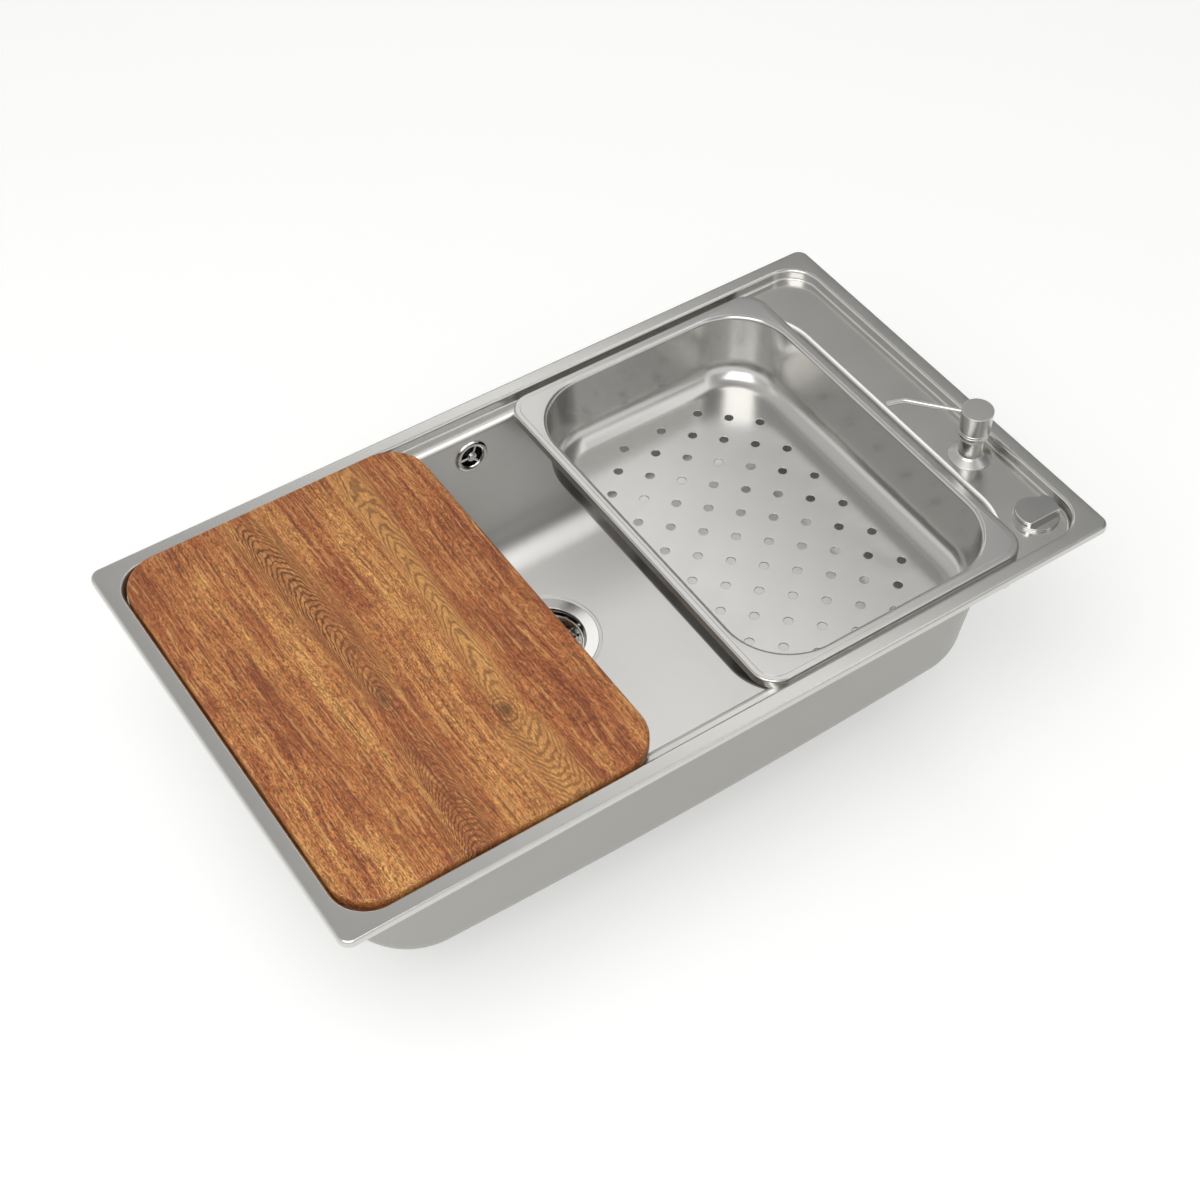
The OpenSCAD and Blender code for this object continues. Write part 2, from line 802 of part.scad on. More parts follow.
// A ring of the hose's section at distance s, square to its line.
function hose_ring(s, r) =
    let (p = hose_point(s), a = hose_angle(s))
    [
        for (i = [0:hose_sides - 1])
            let (t = 360 * i / hose_sides)
            p + r * [cos(t), sin(t) * cos(a), -sin(t) * sin(a)]
    ];

hose_plain = 2 * hose_rib_r;
hose_ribs = floor((hose_length - 2 * hose_plain) / hose_rib_pitch);
hose_valley_r = hose_bore_r + 0.9;

module overflow_hose() {
    first = (hose_length - hose_ribs * hose_rib_pitch) / 2;
    outside = concat(
        [hose_ring(0, hose_valley_r)],
        [
            for (i = [0:hose_ribs - 1]) each [
                hose_ring(first + i * hose_rib_pitch, hose_valley_r),
                hose_ring(first + (i + 0.5) * hose_rib_pitch, hose_rib_r)
            ]
        ],
        [hose_ring(first + hose_ribs * hose_rib_pitch, hose_valley_r)],
        [hose_ring(hose_length, hose_valley_r)]
    );
    bore_steps = 18;
    bore = [for (i = [0:bore_steps]) hose_ring(hose_down - 10 + (hose_bend_l + 20) * i / bore_steps, hose_bore_r)];
    inside = concat([hose_ring(0, hose_bore_r)], bore, [hose_ring(hose_length, hose_bore_r)]);
    color(dark_plastic) ring_loop(concat(outside, reversed(inside)));
}

module hose_nut(h) {
    nut_r = hose_rib_r + 1.7;
    grips = 12;
    difference() {
        union() {
            cylinder(h = h, r = nut_r);
            for (i = [0:grips - 1]) {
                rotate([0, 0, 360 * i / grips]) translate([nut_r, 0, 0]) cylinder(h = h, r = 0.9);
            }
        }
        translate([0, 0, -1]) cylinder(h = h + 2, r = hose_valley_r + 0.25);
    }
}

module hose_nut_top() {
    color(white_plastic) translate([bowl_x, hose_y, hose_top_z - hose_plain + 4]) hose_nut(12);
}

module hose_nut_bottom() {
    color(white_plastic)
        translate([bowl_x, hose_end_y + 2, inlet_z])
        rotate([-90, 0, 0])
        hose_nut(12);
}

// Waste and strainer

module strainer_flange() {
    spoke_w = 3;
    color(bright_steel) translate(drain) {
        rotate_extrude() {
            translate([cup_r, dish_z]) square([flange_r - cup_r - 0.6, flange_t]);
            translate([flange_r - 0.6, dish_z]) square([0.6, flange_t - 0.6]);
            translate([flange_r - 0.6, dish_z + flange_t - 0.6]) quarter_ring(0.6, 0, 1, 1);
            translate([cup_r, cup_floor_z]) square([cup_wall, cup_depth]);
            translate([neck_r, cup_floor_z - cup_wall]) square([cup_r + cup_wall - neck_r, cup_wall]);
            translate([neck_r, neck_low_z]) square([cup_wall, cup_floor_z - neck_low_z]);
        }
        difference() {
            union() {
                translate([0, 0, neck_low_z]) cylinder(h = spider_t, r = spider_hub_r);
                for (i = [0:3]) {
                    rotate([0, 0, 90 * i])
                        translate([spider_hub_r - 1, -spoke_w / 2, neck_low_z])
                        cube([neck_r - spider_hub_r + 1.5, spoke_w, spider_t]);
                }
            }
            translate([0, 0, neck_low_z - 1]) cylinder(h = spider_t + 2, r = screw_r + thread_fit);
        }
    }
}

module waste_gasket() {
    color(black_rubber) translate(drain) translate([0, 0, waste_top_z])
        tube(waste_rim_r, drain_hole_r + 1, waste_gasket_t);
}

module waste_body() {
    waste_out = waste_r + waste_wall;
    spoke_w = 4;
    color(dark_plastic) difference() {
        union() {
            translate(drain) {
                rotate_extrude() {
                    polygon([
                        [drain_hole_r, waste_top_z],
                        [waste_rim_r, waste_top_z],
                        [waste_rim_r, waste_top_z - waste_rim_t],
                        [waste_out, waste_top_z - waste_rim_t],
                        [waste_out, waste_low_z],
                        [tube_r, tube_top_z],
                        [tube_r, thread_top_z],
                        [outlet_thread_r, thread_top_z],
                        [outlet_thread_r, outlet_z],
                        [outlet_bore_r, outlet_z],
                        [outlet_bore_r, tube_top_z],
                        [waste_r, waste_low_z],
                        [waste_r, waste_top_z - waste_wall],
                        [drain_hole_r, waste_top_z - waste_wall]
                    ]);
                }
                translate([0, 0, hub_low_z]) cylinder(h = hub_h, r = hub_r);
                for (i = [0:2]) {
                    rotate([0, 0, 60 + 120 * i])
                        translate([hub_r - 1, -spoke_w / 2, hub_low_z])
                        cube([outlet_bore_r - hub_r + 9, spoke_w, 3]);
                }
                translate([lever_box_in, -lever_box_w / 2 - lever_box_wall, lever_box_low_z - lever_box_wall])
                    cube([
                        lever_box_out + lever_box_wall - lever_box_in,
                        lever_box_w + 2 * lever_box_wall,
                        lever_box_top_z - lever_box_low_z + 2 * lever_box_wall
                    ]);
                translate([lever_box_out + lever_box_wall - 1, 0, cable_in_z])
                    rotate([0, 90, 0])
                    cylinder(h = cable_boss_l + 1, r = cable_boss_r);
            }
            translate([drain[0], drain[1] + waste_r + 1, inlet_z])
                rotate([-90, 0, 0])
                cylinder(h = inlet_reach, r = spigot_r);
        }
        translate([drain[0], drain[1] + waste_r - 5, inlet_z])
            rotate([-90, 0, 0])
            cylinder(h = inlet_reach + 10, r = spigot_bore_r);
        translate(drain) {
            translate([0, 0, hub_low_z - 1]) cylinder(h = hub_h + 2, r = screw_r + thread_fit);
            translate([0, 0, thread_top_z]) cylinder(h = tube_top_z - thread_top_z, r = outlet_bore_r);
            translate([0, -lever_box_w / 2, lever_box_low_z])
                cube([lever_box_out, lever_box_w, lever_box_top_z - lever_box_low_z]);
            translate([lever_arm, 0, lever_z])
                rotate([90, 0, 0])
                cylinder(h = lever_box_w + 4 * lever_box_wall, r = lever_pin_r + press_gap, center = true);
            translate([lever_box_out - 1, 0, cable_in_z])
                rotate([0, 90, 0])
                cylinder(h = cable_boss_l + 5, r = cable_r + 0.1);
        }
    }
}

module waste_screw() {
    spider_top_z = neck_low_z + spider_t;
    color(bright_steel) translate(drain) {
        translate([0, 0, screw_low_z]) tube(screw_r, pin_r + run_fit, spider_top_z - screw_low_z);
        translate([0, 0, spider_top_z]) difference() {
            cylinder(h = screw_head_h, r = screw_head_r, $fn = 6);
            translate([0, 0, -1]) cylinder(h = screw_head_h + 2, r = pin_r + run_fit);
        }
    }
}

module strainer_basket() {
    wall = 1;
    low_holes = 16;
    side_holes = 18;
    color(bright_steel) translate([drain[0], drain[1], basket_low_z]) {
        difference() {
            rotate_extrude() {
                square([basket_r, wall]);
                translate([basket_r - wall, 0]) square([wall, basket_h]);
                translate([basket_r - wall, basket_h]) square([2.2, wall]);
            }
            for (i = [0:low_holes - 1]) {
                rotate([0, 0, 360 * i / low_holes])
                    translate([basket_r - 3.6, 0, -1])
                    cylinder(h = 3, r = basket_hole_r);
            }
            for (i = [0:side_holes - 1]) {
                rotate([0, 0, 360 * (i + 0.5) / side_holes])
                    translate([basket_r - 3, 0, basket_h / 2 + 1])
                    rotate([0, 90, 0])
                    cylinder(h = 6, r = basket_hole_r);
            }
        }
    }
}

module basket_seal() {
    color(black_rubber) translate([drain[0], drain[1], basket_low_z - seal_t])
        tube(neck_r + 5.5, neck_r + 1.5, seal_t);
}

module lift_pin() {
    color(bright_steel) translate([drain[0], drain[1], pin_low_z])
        cylinder(h = basket_low_z - pin_low_z, r = pin_r);
}

module lift_lever() {
    color(dark_plastic) translate([drain[0] + lever_arm, drain[1], lever_z]) {
        difference() {
            union() {
                rotate([90, 0, 0]) cylinder(h = lever_w, r = 3.5, center = true);
                translate([-lever_arm, -lever_w / 2, -lever_t / 2])
                    cube([lever_arm, lever_w, lever_t]);
                translate([-lever_arm, 0, 0])
                    rotate([90, 0, 0])
                    cylinder(h = lever_w, r = lever_nose_r, center = true);
                translate([-lever_t / 2, -lever_w / 2, 0])
                    cube([lever_t, lever_w, lever_up]);
            }
            rotate([90, 0, 0]) cylinder(h = 20, r = lever_pin_r + run_fit, center = true);
            translate([0, 0, lever_up - 2])
                rotate([0, 90, 0])
                cylinder(h = 20, r = 0.8, center = true);
        }
    }
}

module lever_pin() {
    color(bright_steel)
        translate([drain[0] + lever_arm, drain[1], lever_z])
        rotate([90, 0, 0])
        cylinder(h = lever_box_w + 2 * lever_box_wall, r = lever_pin_r, center = true);
}

// Control cable: a smooth line through its points, as a tube of even rings

cable_line = concat([cable_start], cable_points, [cable_end]);
cable_parts = 4;
cable_sides = 8;

function spline_point(p, i, t) =
    let (
        a = p[max(i - 1, 0)],
        b = p[i],
        c = p[i + 1],
        d = p[min(i + 2, len(p) - 1)]
    )
    0.5 * (2 * b + (c - a) * t + (2 * a - 5 * b + 4 * c - d) * t * t
        + (3 * b - a - 3 * c + d) * t * t * t);

function spline(p, parts) = concat(
    [for (i = [0:len(p) - 2]) for (j = [0:parts - 1]) spline_point(p, i, j / parts)],
    [p[len(p) - 1]]
);

function unit(v) = v / norm(v);

// Rings square to a line, turned as little as possible from one to the next.
function line_rings(line, r, sides, k = 0, side = [0, 1, 0]) =
    k == len(line) ? [] :
    let (
        before = line[max(k - 1, 0)],
        after = line[min(k + 1, len(line) - 1)],
        along = unit(after - before),
        u = unit(side - (side * along) * along),
        v = cross(along, u)
    )
    concat(
        [[for (i = [0:sides - 1]) line[k] + r * (cos(360 * i / sides) * u + sin(360 * i / sides) * v)]],
        line_rings(line, r, sides, k + 1, u)
    );

module control_cable() {
    color(black_rubber) ring_rod(line_rings(spline(cable_line, cable_parts), cable_r, cable_sides));
}

// Pop-up knob

module knob_bezel() {
    color(bright_steel) translate([knob_at[0], knob_at[1], 0]) difference() {
        union() {
            translate([0, 0, ledge_z]) cylinder(h = bezel_h, r = bezel_r);
            translate([0, 0, knob_shank_low_z]) cylinder(h = ledge_z - knob_shank_low_z, r = knob_shank_r);
        }
        translate([0, 0, knob_shank_low_z - 1])
            cylinder(h = ledge_z + bezel_h - knob_shank_low_z + 2, r = knob_stem_r + run_fit);
    }
}

module knob_washer() {
    color(black_rubber) translate([knob_at[0], knob_at[1], under_ledge_z - washer_t])
        tube(knob_nut_r + 1, knob_hole_r, washer_t);
}

module knob_nut() {
    color(dark_plastic) translate([knob_at[0], knob_at[1], under_ledge_z - washer_t - knob_nut_h])
        hex_nut(knob_nut_r, knob_shank_r + thread_fit, knob_nut_h);
}

module knob_housing() {
    top_z = knob_shank_low_z;
    floor_top_z = housing_low_z + housing_wall;
    color(dark_plastic) translate([knob_at[0], knob_at[1], 0]) difference() {
        union() {
            translate([0, 0, housing_low_z]) cylinder(h = top_z - housing_low_z, r = housing_r);
            translate([0, 0, top_z - 1]) cylinder(h = 9, r = housing_r);
            translate([-cable_side, 0, housing_low_z - cable_boss_l])
                cylinder(h = cable_boss_l + 1, r = cable_boss_r);
        }
        translate([0, 0, floor_top_z])
            cylinder(h = top_z - 2 - floor_top_z, r = housing_r - housing_wall);
        translate([0, 0, top_z]) cylinder(h = 20, r = knob_shank_r + thread_fit);
        translate([0, 0, top_z - 10]) cylinder(h = 20, r = knob_stem_r + 1);
        translate([-cable_side, 0, housing_low_z - cable_boss_l - 1])
            cylinder(h = cable_boss_l + housing_wall + 2, r = cable_r + 0.1);
    }
}

module cable_drum() {
    top_z = knob_shank_low_z - 4;
    bore = knob_stem_r + press_gap;
    rim = 1.5;
    color(white_plastic) translate([knob_at[0], knob_at[1], top_z - drum_h]) {
        rotate_extrude() {
            for (part = [[drum_core_r, 0, drum_h], [drum_r, 0, rim], [drum_r, drum_h - rim, rim]]) {
                translate([bore, part[1]]) square([part[0] - bore, part[2]]);
            }
        }
    }
}

module popup_knob() {
    stem_low_z = knob_shank_low_z - 4 - drum_h;
    grip_top_z = ledge_z + grip_h;
    scoop_r = 5;
    edge = 0.8;
    color(bright_steel) translate([knob_at[0], knob_at[1], 0]) {
        translate([0, 0, knob_disc_z]) cylinder(h = knob_disc_t, r = knob_r);
        difference() {
            intersection() {
                union() {
                    translate([0, 0, knob_disc_z]) cylinder(h = grip_top_z - knob_disc_z - edge, r = knob_r);
                    translate([0, 0, grip_top_z - edge]) cylinder(h = edge, r1 = knob_r, r2 = knob_r - edge);
                }
                translate([-knob_r, 0, 0]) rotate([90, 0, 90]) linear_extrude(2 * knob_r) polygon([
                    [-grip_w / 2, knob_disc_z],
                    [grip_w / 2, knob_disc_z],
                    [grip_w / 2, grip_top_z - edge],
                    [grip_w / 2 - edge, grip_top_z],
                    [-grip_w / 2 + edge, grip_top_z],
                    [-grip_w / 2, grip_top_z - edge]
                ]);
            }
            translate([-knob_r - 2.4, 0, knob_disc_z + knob_disc_t + 1.6])
                rotate([90, 0, 0])
                cylinder(h = grip_w - 6, r = scoop_r - 1.6, center = true);
        }
        translate([0, 0, stem_low_z]) cylinder(h = knob_disc_z - stem_low_z, r = knob_stem_r);
    }
}

// Soap dispenser; heights in these modules count from the deck

module at_dispenser() {
    translate([dispenser_at[0], dispenser_at[1], ledge_z]) children();
}

module dispenser_collar() {
    foot_edge = 1.2;
    color(bright_steel) at_dispenser() rotate_extrude() polygon([
        [shank_bore_r, shank_low_z - ledge_z],
        [shank_r, shank_low_z - ledge_z],
        [shank_r, 0],
        [collar_foot_r, 0],
        [collar_foot_r, foot_edge],
        [collar_r + 2, collar_foot_h - 0.6],
        [collar_r, collar_foot_h + 1],
        [collar_r, neck_top],
        [shank_bore_r, neck_top]
    ]);
}

module dispenser_washer() {
    color(black_rubber) at_dispenser() translate([0, 0, -sheet - washer_t])
        tube(dispenser_nut_r + 1.5, dispenser_hole_r, washer_t);
}

module dispenser_nut() {
    color(dark_plastic) at_dispenser() translate([0, 0, -sheet - washer_t - dispenser_nut_h])
        hex_nut(dispenser_nut_r, shank_r + thread_fit, dispenser_nut_h);
}

module soap_bottle() {
    top = bottle_top_z - ledge_z;
    low = top - bottle_h;
    shoulder = top - bottle_neck_h;
    neck_in = shank_r + thread_fit;
    color(clear_plastic) at_dispenser() rotate_extrude() polygon([
        [neck_in, top],
        [bottle_neck_r, top],
        [bottle_neck_r, shoulder],
        [bottle_r - 4, shoulder - 6],
        [bottle_r, shoulder - 14],
        [bottle_r, low + 4],
        [bottle_r - 4, low],
        [0, low],
        [0, low + bottle_wall],
        [bottle_r - 4.5, low + bottle_wall],
        [bottle_r - bottle_wall, low + 4.5],
        [bottle_r - bottle_wall, shoulder - 14.5],
        [bottle_r - 4.8, shoulder - 7],
        [neck_in, shoulder - 1.2]
    ]);
}

module pump_body() {
    low = pump_low_z - ledge_z;
    color(white_plastic) at_dispenser() rotate_extrude() polygon([
        [dip_r + thread_fit, low],
        [pump_r, low],
        [pump_r, neck_top],
        [collar_r - 1, neck_top],
        [collar_r - 1, neck_top + pump_flange_h],
        [rod_r + run_fit, neck_top + pump_flange_h],
        [rod_r + run_fit, neck_top - 1],
        [pump_bore_r, neck_top - 1],
        [pump_bore_r, low + 3],
        [dip_r + thread_fit, low + 3]
    ]);
}

module pump_piston() {
    color(white_plastic) at_dispenser() rotate_extrude() {
        translate([rod_bore_r, disc_top - disc_h]) square([pump_bore_r - run_fit - rod_bore_r, disc_h]);
        translate([rod_bore_r, disc_top - disc_h]) square([rod_r - rod_bore_r, rod_top - disc_top + disc_h]);
    }
}

// The return spring stands on the pump's floor and carries the piston.
spring_low = pump_low_z - ledge_z + 3.2 + spring_wire_r;
spring_high = disc_top - disc_h - 0.2 - spring_wire_r;
spring_pitch = (spring_high - spring_low) / spring_coils;
spring_line = [
    for (i = [0:spring_coils * spring_rings])
        let (a = 360 * i / spring_rings)
        [spring_coil_r * cos(a), spring_coil_r * sin(a), spring_low + spring_pitch * i / spring_rings]
];
echo("least gap between the spring's curls", spring_pitch - 2 * spring_wire_r);

module pump_spring() {
    color(bright_steel) at_dispenser()
        ring_rod(line_rings(spring_line, spring_wire_r, spring_sides, 0, [0, 0, 1]));
}

module dip_tube() {
    low = bottle_top_z - bottle_h + bottle_wall + 4 - ledge_z;
    high = pump_low_z - ledge_z + 3;
    color(clear_plastic) at_dispenser() translate([0, 0, low]) tube(dip_r, dip_r - dip_wall, high - low);
}

module pump_head() {
    low = head_top - head_h;
    edge = 0.7;
    groove = 0.6;
    color(bright_steel) at_dispenser() difference() {
        rotate_extrude() difference() {
            polygon([
                [0, head_top],
                [head_r - edge, head_top],
                [head_r, head_top - edge],
                [head_low_r + 0.25, low + 11.6],
                [head_low_r - groove, low + 11],
                [head_low_r + 0.15, low + 10.4],
                [head_low_r + 0.1, low + 8.6],
                [head_low_r - groove, low + 8],
                [head_low_r, low + 7.4],
                [head_low_r, low + 4],
                [head_low_r - 1.6, low],
                [0, low]
            ]);
            translate([-1, low - 1]) square([head_cavity_r + 1, head_cavity_top - low + 1]);
            translate([-1, low]) square([rod_r + run_fit + 1, rod_top - low + 0.5]);
        }
        translate([0, 0, rod_top]) cylinder(h = spout_drop - rod_top, r = rod_bore_r);
        rotate([0, 0, spout_turn]) translate([0, 0, spout_drop]) rotate([0, 90, 0]) {
            cylinder(h = spout_root, r = rod_bore_r);
            translate([0, 0, spout_root - 1]) cylinder(h = head_r, r = spout_r + press_gap);
        }
    }
}

// The spout: straight out of the head, bent down near its end.
spout_end = 16;

spout_straight = spout_reach - spout_bend_r * sin(spout_fall) - spout_end * cos(spout_fall);
spout_line = concat(
    [[spout_root, 0, spout_drop]],
    [
        for (i = [0:4])
            let (a = spout_fall * i / 4)
            [spout_straight + spout_bend_r * sin(a), 0, spout_drop - spout_bend_r * (1 - cos(a))]
    ],
    [[
        spout_straight + spout_bend_r * sin(spout_fall) + spout_end * cos(spout_fall),
        0,
        spout_drop - spout_bend_r * (1 - cos(spout_fall)) - spout_end * sin(spout_fall)
    ]]
);
spout_sides = 20;

module pump_spout() {
    skin = line_rings(spout_line, spout_r, spout_sides);
    bore = line_rings(spout_line, spout_r - spout_wall, spout_sides);
    color(bright_steel) at_dispenser() rotate([0, 0, spout_turn])
        ring_loop(concat(bore, reversed(skin)));
}

// Colander: a pressed pan whose flange turns down to stand on the ledge

function pan_ring(hx, hy, r, z) = ring(hx, hy, r, z, pan_corner_steps);

function pan_flange(thickness) = concat(
    [pan_ring(pan_hx - thickness, pan_hy - thickness, pan_flange_r - thickness, ledge_z)],
    [
        for (a = [0, 30, 60, 90])
            let (r = flange_edge_r - thickness, o = r * cos(a) - flange_edge_r)
            pan_ring(pan_hx + o, pan_hy + o, pan_flange_r + o, pan_top_z - flange_edge_r + r * sin(a))
    ]
);

function pan_edge(thickness) = [
    for (a = [0, 30, 60, 90])
        let (r = pan_edge_r - thickness, o = pan_edge_r - r * sin(a))
        pan_ring(basin_hx + o, basin_hy + o, pan_r + o, pan_top_z - pan_edge_r + r * cos(a))
];

function pan_fillet(thickness) = [
    for (a = [0, 15, 30, 45, 60, 75, 90])
        let (r = pan_floor_r + thickness, o = r * cos(a) - pan_taper - pan_floor_r)
        pan_ring(basin_hx + o, basin_hy + o, pan_r + o, pan_floor_z + pan_floor_r - r * sin(a))
];

function pan_skin(thickness) = concat(pan_flange(thickness), pan_edge(thickness), pan_fillet(thickness));

// Rows of holes step by half a column, and the end rows have fewer.
module hole_pattern() {
    for (row = [-hole_rows:hole_rows]) {
        odd = abs(row) % 2;
        reach = abs(row) == hole_rows ? hole_columns - 2 : hole_columns - 1 + odd;
        for (column = [-reach:2:reach]) {
            translate([column * hole_step, row * hole_step]) circle(hole_r, $fn = 24);
        }
    }
}

module colander() {
    inset = pan_taper + pan_floor_r;
    color(bright_steel) translate([pan_x, 0, 0]) {
        ring_loop(concat(pan_skin(pan_sheet), reversed(pan_skin(0))));
        translate([0, 0, pan_floor_z - pan_sheet]) linear_extrude(pan_sheet) difference() {
            polygon(flat(pan_ring(basin_hx - inset, basin_hy - inset, pan_r - inset, 0)));
            hole_pattern();
        }
    }
}

// Cutting board, on the ledge over the left of the bowl

module board_edge() {
    for (y = [board_edge_r, board_t - board_edge_r]) {
        translate([0, y]) circle(board_edge_r);
    }
    translate([0, board_edge_r]) square([board_edge_r, board_t - 2 * board_edge_r]);
}

module cutting_board() {
    hx = board_hx - board_edge_r;
    hy = board_hy - board_edge_r;
    color(timber) translate([board_x, 0, ledge_z]) {
        linear_extrude(board_t) round_rect(hx, hy, board_r - board_edge_r);
        carry_round(hx, hy, board_r - board_edge_r) intersection() {
            board_edge();
            square([board_edge_r, board_t]);
        }
    }
}

sink_top();
sink_bowl();
rim_seal();
clip_rails();
clip_jaws();
clip_screws();
overflow_rosette();
overflow_screw();
overflow_gasket();
overflow_elbow();
overflow_hose();
hose_nut_top();
hose_nut_bottom();
strainer_flange();
waste_gasket();
waste_body();
waste_screw();
strainer_basket();
basket_seal();
lift_pin();
lift_lever();
lever_pin();
control_cable();
knob_bezel();
knob_washer();
knob_nut();
knob_housing();
cable_drum();
popup_knob();
dispenser_collar();
dispenser_washer();
dispenser_nut();
soap_bottle();
pump_body();
pump_spring();
dip_tube();
pump_piston();
pump_head();
pump_spout();
colander();
cutting_board();
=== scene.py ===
import bmesh
import bpy
import numpy as np
from mathutils import Matrix, Vector
from mathutils.geometry import tessellate_polygon


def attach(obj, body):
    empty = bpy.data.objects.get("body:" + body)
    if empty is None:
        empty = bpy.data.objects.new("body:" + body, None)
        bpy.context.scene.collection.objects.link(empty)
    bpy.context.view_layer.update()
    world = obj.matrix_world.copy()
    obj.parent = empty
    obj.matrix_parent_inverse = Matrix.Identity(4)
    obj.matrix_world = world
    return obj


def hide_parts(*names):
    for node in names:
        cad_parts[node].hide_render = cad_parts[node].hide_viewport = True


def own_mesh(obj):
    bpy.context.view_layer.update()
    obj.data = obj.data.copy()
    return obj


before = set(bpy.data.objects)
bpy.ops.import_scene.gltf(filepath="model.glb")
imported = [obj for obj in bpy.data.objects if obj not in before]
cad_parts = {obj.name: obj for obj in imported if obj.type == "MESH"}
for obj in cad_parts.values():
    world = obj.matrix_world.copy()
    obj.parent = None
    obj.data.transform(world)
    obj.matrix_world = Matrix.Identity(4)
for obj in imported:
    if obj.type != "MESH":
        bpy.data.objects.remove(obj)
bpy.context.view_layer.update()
scene = bpy.context.scene

# ---------------------------------------------------------------- Camera
# It stands to the left of the sink's front and looks down into the bowl, as the
# photographer did. Its place was worked out from the rim's edges and corners.

camera_at = Vector((-0.77253, -1.14274, 1.53260))
camera_aim = Vector((-0.04041, -0.05218, 0.00700))

lens = bpy.data.cameras.new("camera")
lens.sensor_width = 36
lens.lens = 63.768
lens.clip_end = 60
camera = bpy.data.objects.new("camera", lens)
scene.collection.objects.link(camera)
camera.matrix_world = Matrix.LocRotScale(
    camera_at, (camera_aim - camera_at).to_track_quat("-Z", "Y"), Vector((1, 1, 1))
)
scene.camera = camera
scene.view_settings.view_transform = "Standard"


# ---------------------------------------------------------------- Studio
# A pale floor just under the waste pipe, a ceiling whose glow changes from left to right, and
# two soft boxes. The floor is near white.


def linear(code):
    """An sRGB hex colour as linear red, green, blue and alpha."""
    c = np.array([int(code[i : i + 2], 16) for i in (1, 3, 5)]) / 255
    c = np.where(c <= 0.04045, c / 12.92, ((c + 0.055) / 1.055) ** 2.4)
    return (*c.tolist(), 1.0)


def nodes_of(owner):
    """The emptied node tree of a new material or of the world."""
    owner.use_nodes = True
    owner.node_tree.nodes.clear()
    return owner.node_tree


def add(tree, kind, *values, **settings):
    """Adds one shader node with its settings, and fills or links its inputs: in order, or by
    name where a dictionary is given. A node among the values stands for its first live output."""
    made = tree.nodes.new("ShaderNode" + kind)
    for key, value in settings.items():
        setattr(made, key, value)
    named = values[0] if values and isinstance(values[0], dict) else dict(enumerate(values))
    for key, value in named.items():
        if isinstance(value, bpy.types.Node):
            value = next(socket for socket in value.outputs if socket.enabled)
        if isinstance(value, bpy.types.NodeSocket):
            tree.links.new(value, made.inputs[key])
        else:
            made.inputs[key].default_value = value
    return made


def seen_rays(tree):
    """1 for the rays from the camera and those that metal, glass and clear plastic send on."""
    path = add(tree, "LightPath").outputs
    shiny = add(tree, "Math", path["Is Camera Ray"], path["Is Glossy Ray"], operation="MAXIMUM")
    return add(tree, "Math", shiny, path["Is Transmission Ray"], operation="MAXIMUM")


floor_z = -0.2845
floor_size = 40

scene.world = bpy.data.worlds.new("studio")
tree = nodes_of(scene.world)
up = add(tree, "SeparateXYZ", add(tree, "TexCoord").outputs["Generated"]).outputs
# The ceiling's glow as a fraction of the brightest: it depends on how far a ray leans to the
# right as it climbs. It is even at the left, brightest in one long strip, and dim at the right.
lean_most, ceiling_most = 1.5, 2.9
first, *between, last = (
    (-lean_most, 0.60), (-0.75, 0.72), (-0.15, 0.66), (0.10, 0.46), (0.24, 0.44), (0.35, 0.70),
    (0.45, 0.86), (0.49, 1.55), (0.525, 2.90), (0.56, 1.55), (0.61, 0.62), (0.70, 0.36),
    (0.77, 0.24), (lean_most, 0.22),
)
climbed = add(tree, "Math", up["Z"], 0.05, operation="MAXIMUM")
lean = add(tree, "Math", up["X"], climbed, operation="DIVIDE")
glow_at = add(tree, "ValToRGB", add(tree, "MapRange", lean, -lean_most, lean_most))
marks = glow_at.color_ramp.elements
marks[0].color = (*[first[1] / ceiling_most] * 3, 1)
marks[1].color = (*[last[1] / ceiling_most] * 3, 1)
for at, level in between:
    marks.new((at / lean_most + 1) / 2).color = (*[level / ceiling_most] * 3, 1)
# White round the horizon, where the floor ends.
smooth = {"interpolation_type": "SMOOTHSTEP"}
low_white = add(tree, "MapRange", up["Z"], 0.06, 0.30, 1.0, 0.0, **smooth)
# The white stands higher at the front and at the left: it draws the light lines on the edges.
to_left = add(tree, "Math", up["X"], -1.0, operation="MULTIPLY")
to_front = add(tree, "Math", up["Y"], -1.0, operation="MULTIPLY")
nearer = add(tree, "Math", to_left, to_front, operation="MAXIMUM")
nearer = add(tree, "Math", nearer, 0.05, operation="MAXIMUM")
climb = add(tree, "Math", up["Z"], nearer, operation="DIVIDE")
near_white = add(tree, "MapRange", climb, 0.62, 0.85, 1.0, 0.0, **smooth)
white_share = add(tree, "Math", low_white, near_white, operation="MAXIMUM")
ceiling = add(tree, "Background", glow_at, ceiling_most)
horizon = add(tree, "Background", linear("#ffffff"), 1.0)
shown = add(tree, "MixShader", white_share, ceiling, horizon)
add(tree, "OutputWorld", add(tree, "MixShader", seen_rays(tree), ceiling, shown))

# A matt pale floor. The white that it adds to seen rays leaves the sink's soft shadow.
floor_mesh = bpy.data.meshes.new("studio_floor")
reach = floor_size / 2
corners = [(-reach, -reach), (reach, -reach), (reach, reach), (-reach, reach)]
floor_mesh.from_pydata([(*corner, floor_z) for corner in corners], [], [(0, 1, 2, 3)])
studio_floor = bpy.data.objects.new("studio_floor", floor_mesh)
scene.collection.objects.link(studio_floor)
paper = bpy.data.materials.new("matt_white_paper")
tree = nodes_of(paper)
matt = add(tree, "BsdfDiffuse", linear("#e4e4e2"))
lit = add(tree, "AddShader", matt, add(tree, "Emission", linear("#ffffff"), 0.38))
add(tree, "OutputMaterial", add(tree, "MixShader", seen_rays(tree), matt, lit))
floor_mesh.materials.append(paper)

